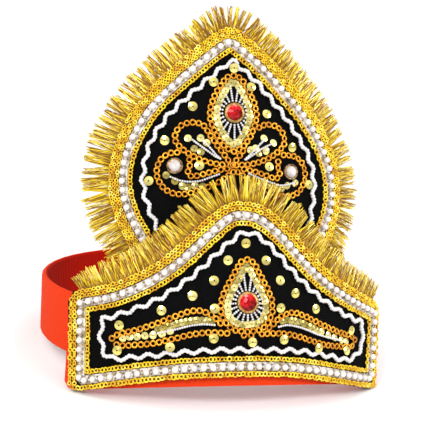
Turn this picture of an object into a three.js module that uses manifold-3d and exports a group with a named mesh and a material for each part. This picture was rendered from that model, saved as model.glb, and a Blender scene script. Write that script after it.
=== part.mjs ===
import * as THREE from 'three';
import { mergeVertices } from 'three/addons/utils/BufferGeometryUtils.js';
import Module from 'manifold-3d';

const wasm = await Module();
wasm.setup();

// Costume crown, in millimetres, +Z up, worn facing -Y. Both panels are bent about one leaning axis.
// On a panel, s runs along the arc from its middle line, z up the velvet and n out of its face.
const DEG = Math.PI / 180;
const GAP = 0.3;
const LEAN = 19.5 * DEG;
const FRONT_RADIUS = 132;
const VELVET = 2.4;
const FELT = 1.6;
// Height of the front panel's zero line (its top sequin) over the floor.
const ZERO_HEIGHT = 88.5;

const FRONT = { radius: FRONT_RADIUS, back: 0, shift: 0 };
const REAR_BACK = 8.6;
const REAR = { radius: FRONT_RADIUS - REAR_BACK, back: REAR_BACK, shift: -4 };

// Offsets from the line of pearls, outward positive, and sizes of the trims.
const PEARL = { radius: 1.75 };
const LACE = { inner: 2.2, front: 8, frontBottom: 5.6, rear: 8.4, thick: 1.4 };
const CHAIN = { outer: -2.7, inner: -6.1, thick: 1.3 };
const WAVE = { swing: 1.05, radius: 1.3, period: 9.8 };
const RINGS = { width: 4.2, thick: 1.3 };
const SEQUIN = { radius: 2.6, thick: 0.5 };

const COLOUR = {
  felt: 0xe8481f,
  velvet: 0x0b0b0c,
  gold: 0xe0a81c,
  fringe: 0xd9a32b,
  copper: 0xdc9023,
  sequin: 0xe3cf62,
  white: 0xf1efec,
  red: 0xcf0a20,
};

// Front line of pearls: its top edge from left to right, then its arched foot from right to left.
const FRONT_TOP = [
  { s: -94, z: -32.3 },
  { s: -85.4, z: -30.9 },
  { s: -75.6, z: -29.2 },
  { s: -66.1, z: -26.3 },
  { s: -56.9, z: -22.4 },
  { s: -48.2, z: -17.6 },
  { s: -40, z: -11.9 },
  { s: -32.5, z: -5.5 },
  { s: -25.2, z: 1.4 },
  { s: -19.3, z: 6.9 },
  { s: -14.7, z: 10.8 },
  { s: -10.6, z: 13.8 },
  { s: -5.6, z: 15.5 },
  { s: -0.5, z: 15.4 },
  { s: 4.2, z: 14.6 },
  { s: 9.5, z: 12.2 },
  { s: 15.8, z: 7.5 },
  { s: 23.3, z: 0.9 },
  { s: 30.3, z: -6.2 },
  { s: 37.8, z: -13 },
  { s: 46, z: -19 },
  { s: 54.8, z: -24.2 },
  { s: 66, z: -29.2 },
  { s: 77.5, z: -33.3 },
  { s: 88.2, z: -36.3 },
  { s: 95.5, z: -38 },
];
const FRONT_FOOT = [
  { s: 90, z: -76.6 },
  { s: 78.1, z: -75.4 },
  { s: 66.2, z: -73.8 },
  { s: 54.4, z: -72.2 },
  { s: 42.5, z: -70.4 },
  { s: 30.6, z: -69 },
  { s: 16.6, z: -67.9 },
  { s: 0.6, z: -67.5 },
  { s: -17.4, z: -67.8 },
  { s: -37.3, z: -68.6 },
  { s: -55.3, z: -70.3 },
  { s: -71.1, z: -72.2 },
  { s: -85, z: -74 },
  { s: -94.6, z: -75.2 },
];

// Rear line of pearls, from the hidden left foot over the point to the right foot.
const REAR_LINE = [
  { s: -34.5, z: -66 },
  { s: -37, z: -43 },
  { s: -41.2, z: -25 },
  { s: -46.6, z: -9 },
  { s: -50.8, z: 0.1 },
  { s: -54.5, z: 7.1 },
  { s: -58.3, z: 14.2 },
  { s: -61.2, z: 21.5 },
  { s: -63, z: 29.1 },
  { s: -63.5, z: 36.8 },
  { s: -62.6, z: 44.6 },
  { s: -60.6, z: 52.3 },
  { s: -57.4, z: 59.6 },
  { s: -53.4, z: 66.8 },
  { s: -48.9, z: 73.5 },
  { s: -42.4, z: 81 },
  { s: -35.1, z: 87.9 },
  { s: -27.5, z: 94.5 },
  { s: -20, z: 101.2 },
  { s: -12.3, z: 107.6 },
  { s: -7.3, z: 111.4 },
  { s: -3.8, z: 113.2 },
  { s: -0.6, z: 112.6 },
  { s: 2.5, z: 110.2 },
  { s: 6.2, z: 107.1 },
  { s: 12.4, z: 102.2 },
  { s: 19.8, z: 95.6 },
  { s: 27, z: 88.7 },
  { s: 34.3, z: 81.9 },
  { s: 41.3, z: 75 },
  { s: 47.7, z: 67.8 },
  { s: 52.4, z: 61.7 },
  { s: 56.5, z: 55.3 },
  { s: 60.1, z: 48.4 },
  { s: 62.6, z: 41.1 },
  { s: 63.6, z: 33.4 },
  { s: 63.3, z: 25.5 },
  { s: 61, z: 17.9 },
  { s: 57.6, z: 10.6 },
  { s: 53.8, z: 3.6 },
  { s: 47.5, z: -9 },
  { s: 41.5, z: -25 },
  { s: 37, z: -43 },
  { s: 34.5, z: -66 },
];

// Points on a panel and in the crown's frame.
function onPanel(panel, s, z, n) {
  const angle = (s + panel.shift) / panel.radius;
  const reach = panel.radius + n;
  const x = reach * Math.sin(angle);
  const y = panel.back + panel.radius - reach * Math.cos(angle);
  const yy = y * Math.cos(LEAN) + z * Math.sin(LEAN);
  const zz = z * Math.cos(LEAN) - y * Math.sin(LEAN);
  return new THREE.Vector3(x, yy, zz + ZERO_HEIGHT);
}

function mapGeometry(geometry, place) {
  geometry.deleteAttribute('normal');
  geometry.deleteAttribute('uv');
  const position = geometry.attributes.position;
  const point = new THREE.Vector3();
  for (let i = 0; i < position.count; i += 1) {
    point.fromBufferAttribute(position, i);
    const placed = place(point);
    position.setXYZ(i, placed.x, placed.y, placed.z);
  }
  return mergeVertices(geometry, 1e-4);
}

function solid(geometry) {
  const mesh = new wasm.Mesh({
    numProp: 3,
    vertProperties: new Float32Array(geometry.attributes.position.array),
    triVerts: new Uint32Array(geometry.index.array),
  });
  return new wasm.Manifold(mesh);
}

function fromSolid(body) {
  const mesh = body.getMesh();
  const geometry = new THREE.BufferGeometry();
  geometry.setAttribute('position', new THREE.BufferAttribute(new Float32Array(mesh.vertProperties), 3));
  geometry.setIndex(new THREE.BufferAttribute(new Uint32Array(mesh.triVerts), 1));
  return geometry;
}

function fuse(geometries) {
  const bodies = geometries.map(solid);
  return fromSolid(bodies.reduce((sum, body) => sum.add(body)));
}

// Everything below the floor is pressed flat.
function pressFlat(geometry) {
  const floor = mapGeometry(new THREE.BoxGeometry(600, 600, 50), (p) => p.setZ(p.z - 25));
  return fromSolid(solid(geometry).subtract(solid(floor)));
}

// Lines in a panel's flat pattern: smoothing, mirroring, even steps and offsets.
function smooth(points, steps) {
  const flat = points.map((p) => new THREE.Vector3(p.s, p.z, 0));
  const curve = new THREE.CatmullRomCurve3(flat, false, 'centripetal');
  return curve.getPoints(steps).map((p) => ({ s: p.x, z: p.y }));
}

function mirrored(half) {
  const left = half.slice(half[0].s === 0 ? 1 : 0).reverse();
  return left.map((p) => ({ s: -p.s, z: p.z })).concat(half);
}

function evenly(points, steps, closed) {
  const line = closed ? points.concat([points[0]]) : points;
  const lengths = [0];
  for (let i = 1; i < line.length; i += 1) {
    lengths.push(lengths[i - 1] + Math.hypot(line[i].s - line[i - 1].s, line[i].z - line[i - 1].z));
  }
  const total = lengths[lengths.length - 1];
  const count = closed ? steps : steps + 1;
  const out = [];
  let k = 1;
  for (let i = 0; i < count; i += 1) {
    const want = (total * i) / steps;
    while (k < line.length - 1 && lengths[k] < want) {
      k += 1;
    }
    const part = (want - lengths[k - 1]) / (lengths[k] - lengths[k - 1]);
    out.push({
      s: line[k - 1].s + part * (line[k].s - line[k - 1].s),
      z: line[k - 1].z + part * (line[k].z - line[k - 1].z),
    });
  }
  return out;
}

function lineLength(points, closed) {
  let total = 0;
  for (let i = closed ? 0 : 1; i < points.length; i += 1) {
    const last = points[(i + points.length - 1) % points.length];
    total += Math.hypot(points[i].s - last.s, points[i].z - last.z);
  }
  return total;
}

// Left-hand side of the line at each point, stretched at corners so that offsets stay parallel.
function sideways(points, closed) {
  const count = points.length;
  return points.map((p, i) => {
    const before = points[closed ? (i + count - 1) % count : Math.max(i - 1, 0)];
    const after = points[closed ? (i + 1) % count : Math.min(i + 1, count - 1)];
    const a = new THREE.Vector2(p.s - before.s, p.z - before.z);
    const b = new THREE.Vector2(after.s - p.s, after.z - p.z);
    const first = a.lengthSq() > 0 ? a.normalize() : b.clone().normalize();
    const second = b.lengthSq() > 0 ? b.normalize() : first;
    const middle = first.clone().add(second).normalize();
    const stretch = Math.min(1 / Math.max(middle.dot(first), 0.5), 1.5);
    return { s: -middle.y * stretch, z: middle.x * stretch };
  });
}

// Points that a tight corner would throw too near the line are left out.
function offset(points, distance, closed) {
  const side = sideways(points, closed);
  const moved = points.map((p, i) => ({ s: p.s + side[i].s * distance, z: p.z + side[i].z * distance }));
  const least = 0.97 * Math.abs(distance);
  return moved.filter((q) => points.every((p) => Math.hypot(p.s - q.s, p.z - q.z) > least));
}

// A section swept along a line on a panel. Its columns are across and out, and scale widens it along the way.
function sweep(panel, line, section, closed, scale = () => 1) {
  const side = sideways(line, closed);
  const sides = section.length;
  const steps = closed ? line.length : line.length - 1;
  const place = (along, { across, out }) => {
    const i = along % line.length;
    const far = across * scale(along / steps);
    return onPanel(panel, line[i].s + side[i].s * far, line[i].z + side[i].z * far, out);
  };
  if (closed) {
    const ring = new THREE.TorusGeometry(2, 1, sides, steps);
    return mapGeometry(ring, (p) => {
      const along = Math.round((1 - Math.atan2(p.y, p.x) / (2 * Math.PI)) * steps) % steps;
      const spread = Math.hypot(p.x, p.y) - 2;
      const around = Math.round((Math.atan2(p.z, spread) / (2 * Math.PI) + 1) * sides) % sides;
      return place(along, section[around]);
    });
  }
  const centre = {
    across: section.reduce((sum, q) => sum + q.across / sides, 0),
    out: section.reduce((sum, q) => sum + q.out / sides, 0),
  };
  const rod = new THREE.CylinderGeometry(1, 1, 1, sides, steps);
  return mapGeometry(rod, (p) => {
    const along = Math.round((0.5 + p.y) * steps);
    if (Math.hypot(p.x, p.z) < 0.5) {
      return place(along, centre);
    }
    const around = Math.round((Math.atan2(p.x, p.z) / (2 * Math.PI) + 1) * sides) % sides;
    return place(along, section[around]);
  });
}

function roundSection(radius, sides) {
  const out = [];
  for (let i = 0; i < sides; i += 1) {
    const angle = (2 * Math.PI * (i + 0.5)) / sides;
    out.push({ across: radius * Math.cos(angle), out: GAP + radius + radius * Math.sin(angle) });
  }
  return out;
}

function flatSection(from, to, low, high) {
  return [
    { across: to, out: high },
    { across: from, out: high },
    { across: from, out: low },
    { across: to, out: low },
  ];
}

// A line carried on straight at both of its ends.
function extended(line, far) {
  const grown = (end, before) => {
    const length = Math.hypot(end.s - before.s, end.z - before.z);
    return { s: end.s + ((end.s - before.s) * far) / length, z: end.z + ((end.z - before.z) * far) / length };
  };
  const last = line.length - 1;
  return [grown(line[0], line[1])].concat(line, [grown(line[last], line[last - 1])]);
}

// Points across a line that runs from left to right, closer together towards its ends.
function across(line, columns) {
  const first = line[0].s;
  const width = line[line.length - 1].s - first;
  const out = [];
  let k = 1;
  for (let i = 0; i <= columns; i += 1) {
    const even = (2 * i) / columns - 1;
    const s = first + (width * (1 + 0.62 * even + 0.38 * Math.sin((Math.PI / 2) * even))) / 2;
    while (k < line.length - 1 && line[k].s < s) {
      k += 1;
    }
    const a = line[k - 1];
    const b = line[k];
    out.push({ s, z: a.z + ((s - a.s) / Math.max(b.s - a.s, 1e-6)) * (b.z - a.z) });
  }
  return out;
}

// A bent plate between a lower and an upper edge that have the same number of points.
function plate(panel, lower, upper, back, face) {
  const columns = lower.length - 1;
  const box = new THREE.BoxGeometry(1, 1, 1, columns, 1, 1);
  return mapGeometry(box, (p) => {
    const i = Math.round((p.x + 0.5) * columns);
    const { s, z } = p.y > 0 ? upper[i] : lower[i];
    return onPanel(panel, s, z, p.z > 0 ? face : back);
  });
}

// Lines of the front trims. They run clockwise as seen, so that the left-hand side is outward.
const frontTopLine = smooth(FRONT_TOP, 120);
const frontFootLine = smooth(FRONT_FOOT, 48);
const frontLoop = evenly(frontTopLine.concat(frontFootLine), 260, true);
const rearLine = smooth(REAR_LINE, 180);

const crown = new THREE.Group();

const CLOTH = { metalness: 0, roughness: 0.85 };

function addPiece(name, geometry, colour, finish) {
  geometry.computeVertexNormals();
  const material = new THREE.MeshStandardMaterial({ color: colour, ...finish });
  const mesh = new THREE.Mesh(geometry, material);
  mesh.name = name;
  crown.add(mesh);
}

// Front panel and its felt lining, whose corners are rounded.
// The lace stands past the edge of the velvet by the inset.
const UP = 1;
const DOWN = -1;
const COLUMNS = { front: 38, lining: 44, rear: 42 };
const INSET = { end: 0.2, top: 0.5, foot: 0.3, rear: 0.4 };
const FRONT_CORNER = { foot: 7, top: 5 };
function roundedEnds(line, corner, toward) {
  const first = line[0].s;
  const last = line[line.length - 1].s;
  return line.map((p) => {
    const past = Math.max(corner - Math.min(p.s - first, last - p.s), 0);
    return { s: p.s, z: p.z + toward * (corner - Math.sqrt(corner ** 2 - past ** 2)) };
  });
}
const frontEnd = LACE.front - INSET.end;
const frontUpper = offset(extended(frontTopLine, frontEnd), LACE.front - INSET.top, false);
const frontLower = offset(extended(frontFootLine, frontEnd), LACE.frontBottom - INSET.foot, false).reverse();
const frontFoot = roundedEnds(across(frontLower, COLUMNS.front), FRONT_CORNER.foot, UP);
const frontTop = roundedEnds(across(frontUpper, COLUMNS.front), FRONT_CORNER.top, DOWN);
addPiece('front_panel', plate(FRONT, frontFoot, frontTop, -VELVET, 0), COLOUR.velvet, CLOTH);

const LINING = { left: -107, right: 108, bottom: -78, drop: 2.6, past: 1.4, below: 3, corner: 5, top: 7 };
const LINING_STEPS = 60;
const liningLower = [];
for (let i = 0; i <= LINING_STEPS; i += 1) {
  const s = LINING.left + ((LINING.right - LINING.left) * i) / LINING_STEPS;
  liningLower.push({ s, z: LINING.bottom - LINING.drop * (s / LINING.right) ** 2 });
}
const liningEnd = LACE.front + LINING.past;
const liningUpper = offset(extended(frontTopLine, liningEnd), LACE.front - LINING.below, false);
const liningFoot = roundedEnds(across(liningLower, COLUMNS.lining), LINING.corner, UP);
const liningTop = roundedEnds(across(liningUpper, COLUMNS.lining), LINING.top, DOWN);
const liningBack = -VELVET - GAP - FELT;
const lining = plate(FRONT, liningFoot, liningTop, liningBack, -VELVET - GAP);
addPiece('front_lining', pressFlat(lining), COLOUR.felt, CLOTH);

// Rear panel, whose foot is glued to the front of the band.
const rearEdge = offset(rearLine, LACE.rear - INSET.rear, false);
const widestAt = (side) => {
  const wider = (best, p, i) => (side * p.s > side * rearEdge[best].s ? i : best);
  return rearEdge.reduce(wider, 0);
};
const rearUpper = rearEdge.slice(widestAt(-1), widestAt(1) + 1);
const rearLeft = rearEdge.slice(0, widestAt(-1) + 1).reverse();
const rearLower = rearLeft.concat(rearEdge.slice(widestAt(1)).reverse());
const rearPlate = plate(REAR, across(rearLower, COLUMNS.rear), across(rearUpper, COLUMNS.rear), -VELVET, 0);
addPiece('rear_panel', rearPlate, COLOUR.velvet, CLOTH);

// Head band: a felt-covered loop. Its front leans with the panels and its back is upright.
const BAND = { width: 96.6, depth: 94.5, height: 34.2, thick: 3.4, round: 1, pressed: 0.4, slope: 4.4 * DEG };
const bandShift = (BAND.height * Math.tan(LEAN - BAND.slope)) / 2;
function bandGeometry() {
  const section = [];
  const half = { thick: BAND.thick / 2, high: BAND.height };
  const edge = BAND.round;
  section.push({ out: half.thick, up: edge }, { out: half.thick, up: half.high - edge });
  section.push({ out: half.thick - edge, up: half.high }, { out: edge - half.thick, up: half.high });
  section.push({ out: -half.thick, up: half.high - edge }, { out: -half.thick, up: edge });
  section.push({ out: edge - half.thick, up: 0 }, { out: half.thick - edge, up: 0 });
  const steps = 48;
  const ring = new THREE.TorusGeometry(2, 1, section.length, steps);
  return mapGeometry(ring, (p) => {
    const angle = (2 * Math.PI * Math.round((Math.atan2(p.y, p.x) / (2 * Math.PI) + 1) * steps)) / steps;
    const spread = Math.hypot(p.x, p.y) - 2;
    const turn = Math.round((Math.atan2(p.z, spread) / (2 * Math.PI) + 1) * section.length) % section.length;
    const { out, up } = section[turn];
    const part = up / BAND.height;
    const rx = BAND.width - BAND.thick / 2;
    const ry = BAND.depth - BAND.thick / 2 - bandShift * part;
    const across = new THREE.Vector2(Math.cos(angle) / rx, Math.sin(angle) / ry).normalize();
    const x = rx * Math.cos(angle) + across.x * out;
    const y = ry * Math.sin(angle) + bandShift * part + across.y * out;
    return new THREE.Vector3(x, y, up).applyAxisAngle(new THREE.Vector3(1, 0, 0), -BAND.slope);
  });
}
const band = bandGeometry();
band.computeBoundingBox();
// Its front is brought up to the back of the rear panel and its back is set on the floor.
const bandFront = new THREE.Vector3(0, bandShift - BAND.depth, BAND.height / 2);
bandFront.applyAxisAngle(new THREE.Vector3(1, 0, 0), -BAND.slope);
const bandRise = -band.boundingBox.min.z - BAND.pressed;
const panelBack = (REAR_BACK + VELVET + GAP) / Math.cos(LEAN);
const panelBackY = (bandFront.z + bandRise - ZERO_HEIGHT) * Math.tan(LEAN) + panelBack;
band.translate(0, panelBackY - bandFront.y, bandRise);
addPiece('head_band', pressFlat(band), COLOUR.felt, CLOTH);

// Gold ring lace, in flat strips.
const METAL = { metalness: 0.8, roughness: 0.35 };
const strip = (from, to, thick) => flatSection(from, to, GAP, GAP + thick);
const frontRight = FRONT_FOOT[0];
const frontLeft = FRONT_FOOT[FRONT_FOOT.length - 1];
const LACE_END = { down: 1.4, past: 2.4 };
const lowered = (p) => ({ s: p.s, z: p.z - LACE_END.down });
const laceTopLine = [lowered(frontLeft)].concat(frontTopLine, [lowered(frontRight)]);
const laceCorners = (points, steps) => {
  const left = evenly(points.slice(0, 2), 4, false);
  const top = evenly(points.slice(1, points.length - 1), steps, false);
  const right = evenly(points.slice(points.length - 2), 4, false);
  return left.concat(top.slice(1), right.slice(1));
};
const laceTop = sweep(FRONT, laceCorners(laceTopLine, 36), strip(LACE.inner, LACE.front, LACE.thick), false);
addPiece('front_lace_top', laceTop, COLOUR.gold, METAL);
const laceBottomLine = extended(frontFootLine, LACE_END.past);
const bottomStrip = strip(LACE.inner, LACE.frontBottom, LACE.thick);
const laceBottom = sweep(FRONT, evenly(laceBottomLine, 24, false), bottomStrip, false);
addPiece('front_lace_bottom', laceBottom, COLOUR.gold, METAL);
const rearStrip = strip(LACE.inner, LACE.rear, LACE.thick);
addPiece('rear_lace', sweep(REAR, evenly(rearLine, 48, false), rearStrip, false), COLOUR.gold, METAL);

// Strings of pearls and the fine gold chains inside them.
const BEAD = { metalness: 0, roughness: 0.3 };
const pearl = roundSection(PEARL.radius, 8);
const pearlEnd = (from, to) => evenly([from, to], 5, false).slice(1, -1);
const frontPearls = evenly(frontTopLine, 24, false).concat(
  pearlEnd(FRONT_TOP[FRONT_TOP.length - 1], frontRight),
  evenly(frontFootLine, 16, false),
  pearlEnd(frontLeft, FRONT_TOP[0]),
);
addPiece('front_pearls', sweep(FRONT, frontPearls, pearl, true), COLOUR.white, BEAD);
addPiece('rear_pearls', sweep(REAR, evenly(rearLine, 38, false), pearl, false), COLOUR.white, BEAD);
const frontInner = offset(frontLoop, CHAIN.outer, true);
const chainSection = strip(CHAIN.inner - CHAIN.outer, 0, CHAIN.thick);
const frontChain = sweep(FRONT, evenly(frontInner, 50, true), chainSection, true);
addPiece('front_inner_chain', frontChain, COLOUR.gold, METAL);
const rearInner = offset(rearLine, CHAIN.outer, false);
const rearChain = sweep(REAR, evenly(rearInner, 42, false), chainSection, false);
addPiece('rear_inner_chain', rearChain, COLOUR.gold, METAL);

// Wavy strings of white beads.
function wavy(line, closed) {
  const waves = Math.round(lineLength(line, closed) / WAVE.period);
  const points = evenly(line, waves * 2, closed);
  const side = sideways(points, closed);
  return points.map((p, i) => {
    const swing = i % 2 === 0 ? WAVE.swing : -WAVE.swing;
    return { s: p.s + side[i].s * swing, z: p.z + side[i].z * swing };
  });
}
const FRONT_WAVE = [
  { s: -79.9, z: -41.1 },
  { s: -70.7, z: -38.7 },
  { s: -58.5, z: -34.5 },
  { s: -46.5, z: -28.8 },
  { s: -35.5, z: -21.6 },
  { s: -25.2, z: -13.1 },
  { s: -16.8, z: -5.1 },
  { s: -9.8, z: 1.1 },
  { s: -5.2, z: 4.6 },
  { s: -1, z: 5.8 },
  { s: 4.9, z: 4.4 },
  { s: 10.4, z: 0.5 },
  { s: 17.4, z: -5.8 },
  { s: 23.9, z: -12.8 },
  { s: 32.1, z: -20.3 },
  { s: 41, z: -27.1 },
  { s: 50.6, z: -32.8 },
  { s: 62.6, z: -38.6 },
  { s: 74, z: -42.3 },
  { s: 80.5, z: -44.2 },
  { s: 80.8, z: -50 },
  { s: 80.4, z: -56 },
  { s: 76.5, z: -61 },
  { s: 70.1, z: -64.2 },
  { s: 65, z: -65 },
  { s: 59, z: -64.2 },
  { s: 51, z: -62.5 },
  { s: 41, z: -60.9 },
  { s: 31, z: -59.5 },
  { s: 16.8, z: -58.7 },
  { s: 0.6, z: -58.4 },
  { s: -15.6, z: -58.4 },
  { s: -31.7, z: -59.2 },
  { s: -45.9, z: -60.5 },
  { s: -58, z: -61.5 },
  { s: -68, z: -62.6 },
  { s: -74.1, z: -62.7 },
  { s: -79, z: -60.2 },
  { s: -81.2, z: -54 },
  { s: -81.4, z: -47 },
];
const REAR_WAVE = [
  { s: -43.6, z: 8.3 },
  { s: -46.7, z: 15.9 },
  { s: -49.2, z: 22.2 },
  { s: -50.8, z: 28.1 },
  { s: -51.6, z: 33.5 },
  { s: -51.5, z: 38.9 },
  { s: -50.7, z: 44.9 },
  { s: -49.3, z: 51.3 },
  { s: -46.8, z: 57.6 },
  { s: -43.4, z: 63.6 },
  { s: -37.9, z: 71 },
  { s: -31.3, z: 77.9 },
  { s: -24, z: 84.5 },
  { s: -16.5, z: 91.1 },
  { s: -9, z: 97.4 },
  { s: -4.3, z: 101 },
  { s: -0.4, z: 102 },
  { s: 2.4, z: 99 },
  { s: 11.5, z: 91.9 },
  { s: 18.1, z: 84.7 },
  { s: 25.1, z: 77.4 },
  { s: 31.4, z: 70.3 },
  { s: 36.7, z: 63.4 },
  { s: 41.9, z: 56.8 },
  { s: 45.8, z: 50 },
  { s: 48.5, z: 43.1 },
  { s: 49.4, z: 36.2 },
  { s: 49.3, z: 31.6 },
  { s: 48.7, z: 26 },
  { s: 47.5, z: 19.8 },
  { s: 46, z: 12.4 },
  { s: 43.8, z: 6.6 },
];
const frontWave = wavy(smooth(FRONT_WAVE.concat([FRONT_WAVE[0]]), 240).slice(1), true);
const waveBead = roundSection(WAVE.radius, 6);
addPiece('front_zigzag', sweep(FRONT, frontWave, waveBead, true), COLOUR.white, BEAD);
const rearWave = wavy(smooth(REAR_WAVE, 160), false);
addPiece('rear_zigzag', sweep(REAR, rearWave, waveBead, false), COLOUR.white, BEAD);

// Ornaments of ring chain: lines on the right-hand half, mirrored and fused into one body on each panel.
const TEARDROP = [
  { s: 0, z: -9 },
  { s: 3.4, z: -10.4 },
  { s: 5.7, z: -13.9 },
  { s: 7.8, z: -17.8 },
  { s: 10.1, z: -21.7 },
  { s: 12.1, z: -25.5 },
  { s: 13.8, z: -29.3 },
  { s: 14.6, z: -33 },
  { s: 14.8, z: -37.2 },
  { s: 13.4, z: -41.3 },
  { s: 11.2, z: -44.5 },
  { s: 7.6, z: -47.4 },
  { s: 0, z: -48.6 },
];
const LEAF_UPPER = [
  { s: 12.5, z: -45.9 },
  { s: 16.2, z: -42.8 },
  { s: 18.9, z: -39.9 },
  { s: 22.6, z: -38.1 },
  { s: 26.4, z: -36.9 },
  { s: 31.2, z: -37.2 },
  { s: 39.7, z: -40 },
  { s: 49.2, z: -43.6 },
  { s: 61.6, z: -47.5 },
  { s: 70.6, z: -49.4 },
  { s: 74.6, z: -51.8 },
];
const LEAF_LOWER = [
  { s: -2, z: -50.4 },
  { s: 12.5, z: -49.2 },
  { s: 21.7, z: -48.8 },
  { s: 31.2, z: -49.9 },
  { s: 40.7, z: -52.2 },
  { s: 51.3, z: -54.5 },
  { s: 62.1, z: -55.4 },
  { s: 70, z: -55.7 },
  { s: 75, z: -54 },
];
const OVAL = [
  { s: 0, z: 94.3 },
  { s: 3.6, z: 93.3 },
  { s: 6.2, z: 90.3 },
  { s: 9, z: 86 },
  { s: 11.4, z: 81 },
  { s: 13, z: 76 },
  { s: 13.4, z: 72 },
  { s: 12.8, z: 68 },
  { s: 11.4, z: 64.2 },
  { s: 9.4, z: 60 },
  { s: 7.2, z: 56.6 },
  { s: 4.2, z: 53.6 },
  { s: 0, z: 51.6 },
];
const UPPER_PETAL = [
  { s: -1, z: 43.6 },
  { s: 10.3, z: 44.7 },
  { s: 16.7, z: 46.4 },
  { s: 23.1, z: 49.4 },
  { s: 28.3, z: 53.2 },
  { s: 31.6, z: 57.5 },
  { s: 31.3, z: 61.8 },
  { s: 28.5, z: 65.6 },
  { s: 23.8, z: 67.4 },
  { s: 19.4, z: 67.3 },
  { s: 15.8, z: 65.7 },
  { s: 12.6, z: 61 },
  { s: 9.5, z: 56.4 },
  { s: 6.4, z: 52.2 },
  { s: 3.4, z: 48.2 },
  { s: 0.4, z: 44 },
];
const LOWER_PETAL = [
  { s: 25.8, z: 51.1 },
  { s: 30.2, z: 50.7 },
  { s: 35.4, z: 50.6 },
  { s: 39.8, z: 48.5 },
  { s: 42.6, z: 45.2 },
  { s: 43.7, z: 41.4 },
  { s: 43.6, z: 37.6 },
  { s: 41.9, z: 33.7 },
  { s: 39.2, z: 30.4 },
  { s: 35, z: 28.1 },
  { s: 30.4, z: 27.4 },
  { s: 25.6, z: 28 },
  { s: 20.8, z: 29.5 },
  { s: 12, z: 32.9 },
  { s: 5.2, z: 37.2 },
  { s: -1.5, z: 42 },
];
const INNER_LEAF = [
  { s: -2, z: 42.6 },
  { s: 6.9, z: 41.5 },
  { s: 13.7, z: 39.9 },
  { s: 20.5, z: 38 },
  { s: 24, z: 37.3 },
  { s: 26.6, z: 38.7 },
  { s: 26.2, z: 41.3 },
  { s: 25.4, z: 44.2 },
  { s: 25.8, z: 47.2 },
  { s: 27, z: 50 },
];
// Hand sewing moves a line a little sideways, and lets the right-hand half of the leaves hang lower.
const SAG_AT = 45;
const { lerp, clamp, smoothstep } = THREE.MathUtils;
function sewn(line, { shift = 0, sag = 0 }) {
  return line.map((p) => ({ s: p.s + shift, z: p.z - sag * smoothstep(p.s, 0, SAG_AT) }));
}

// Each strand is a little thinner than the one before, so that crossing strands share no flat surface.
function ornament(panel, lines) {
  const parts = [];
  const strand = () => {
    const thinner = 0.05 * parts.length;
    return flatSection(-RINGS.width / 2, RINGS.width / 2, GAP + thinner, GAP + RINGS.thick - thinner);
  };
  lines.forEach(({ points, steps, loop, hand }) => {
    if (loop) {
      const ring = evenly(mirrored(smooth(points, 80)).slice(0, -1), 2 * steps, true);
      parts.push(sweep(panel, sewn(ring, hand), strand(), true));
      return;
    }
    const line = evenly(smooth(points, 80), steps, false);
    const mirror = line.map((p) => ({ s: -p.s, z: p.z })).reverse();
    parts.push(sweep(panel, sewn(line, hand), strand(), false));
    parts.push(sweep(panel, sewn(mirror, hand), strand(), false));
  });
  return fuse(parts);
}
const TEARDROP_HAND = { shift: -0.7 };
const LEAF_HAND = { shift: -0.6, sag: 2 };
const OVAL_HAND = { shift: -1.2 };
const UPPER_HAND = { shift: -2.2 };
const LOWER_HAND = { shift: -0.3 };
const frontLines = [
  { points: TEARDROP, steps: 12, loop: true, hand: TEARDROP_HAND },
  { points: LEAF_UPPER, steps: 11, hand: LEAF_HAND },
  { points: LEAF_LOWER, steps: 9, hand: LEAF_HAND },
];
addPiece('front_ornament', ornament(FRONT, frontLines), COLOUR.copper, METAL);
const rearLines = [
  { points: OVAL, steps: 10, loop: true, hand: OVAL_HAND },
  { points: UPPER_PETAL, steps: 16, hand: UPPER_HAND },
  { points: LOWER_PETAL, steps: 12, hand: LOWER_HAND },
  { points: INNER_LEAF, steps: 8, hand: LOWER_HAND },
];
addPiece('rear_ornament', ornament(REAR, rearLines), COLOUR.copper, METAL);

// Overlapped sequins inside the ornaments, as thin strips.
const SPANGLE = { metalness: 0.6, roughness: 0.3 };
const ROW = { inset: 3.8, width: 2.4, thick: 0.7 };
const rowStrip = strip(-ROW.width / 2, ROW.width / 2, ROW.thick);
function sequinRing(panel, half, steps, hand) {
  const loop = mirrored(smooth(half, 80)).slice(0, -1);
  const inner = offset(loop, -ROW.inset, true);
  return sweep(panel, sewn(evenly(inner, steps, true), hand), rowStrip, true);
}
addPiece('front_teardrop_sequins', sequinRing(FRONT, TEARDROP, 22, TEARDROP_HAND), COLOUR.sequin, SPANGLE);
addPiece('rear_oval_sequins', sequinRing(REAR, OVAL, 22, OVAL_HAND), COLOUR.sequin, SPANGLE);
const LEAF_ROW = [
  { s: 21, z: -43.6 },
  { s: 27, z: -42.6 },
  { s: 34, z: -44.2 },
  { s: 45, z: -47.8 },
  { s: 58, z: -50.9 },
];
const LOWER_ROW = [
  { s: 36.2, z: 34.6 },
  { s: 32.6, z: 32.7 },
  { s: 28.5, z: 32 },
  { s: 22, z: 33 },
];
const SIDES = [
  { label: 'right', mirror: 1 },
  { label: 'left', mirror: -1 },
];
function sequinRow(panel, points, mirror, hand) {
  const half = evenly(smooth(points, 40), 6, false).map((p) => ({ s: mirror * p.s, z: p.z }));
  const line = sewn(half, hand);
  return sweep(panel, mirror > 0 ? line : line.reverse(), rowStrip, false);
}
SIDES.forEach(({ label, mirror }) => {
  const leafRow = sequinRow(FRONT, LEAF_ROW, mirror, LEAF_HAND);
  const lowerRow = sequinRow(REAR, LOWER_ROW, mirror, LOWER_HAND);
  addPiece(`front_leaf_sequins_${label}`, leafRow, COLOUR.sequin, SPANGLE);
  addPiece(`rear_lower_sequins_${label}`, lowerRow, COLOUR.sequin, SPANGLE);
});

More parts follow.
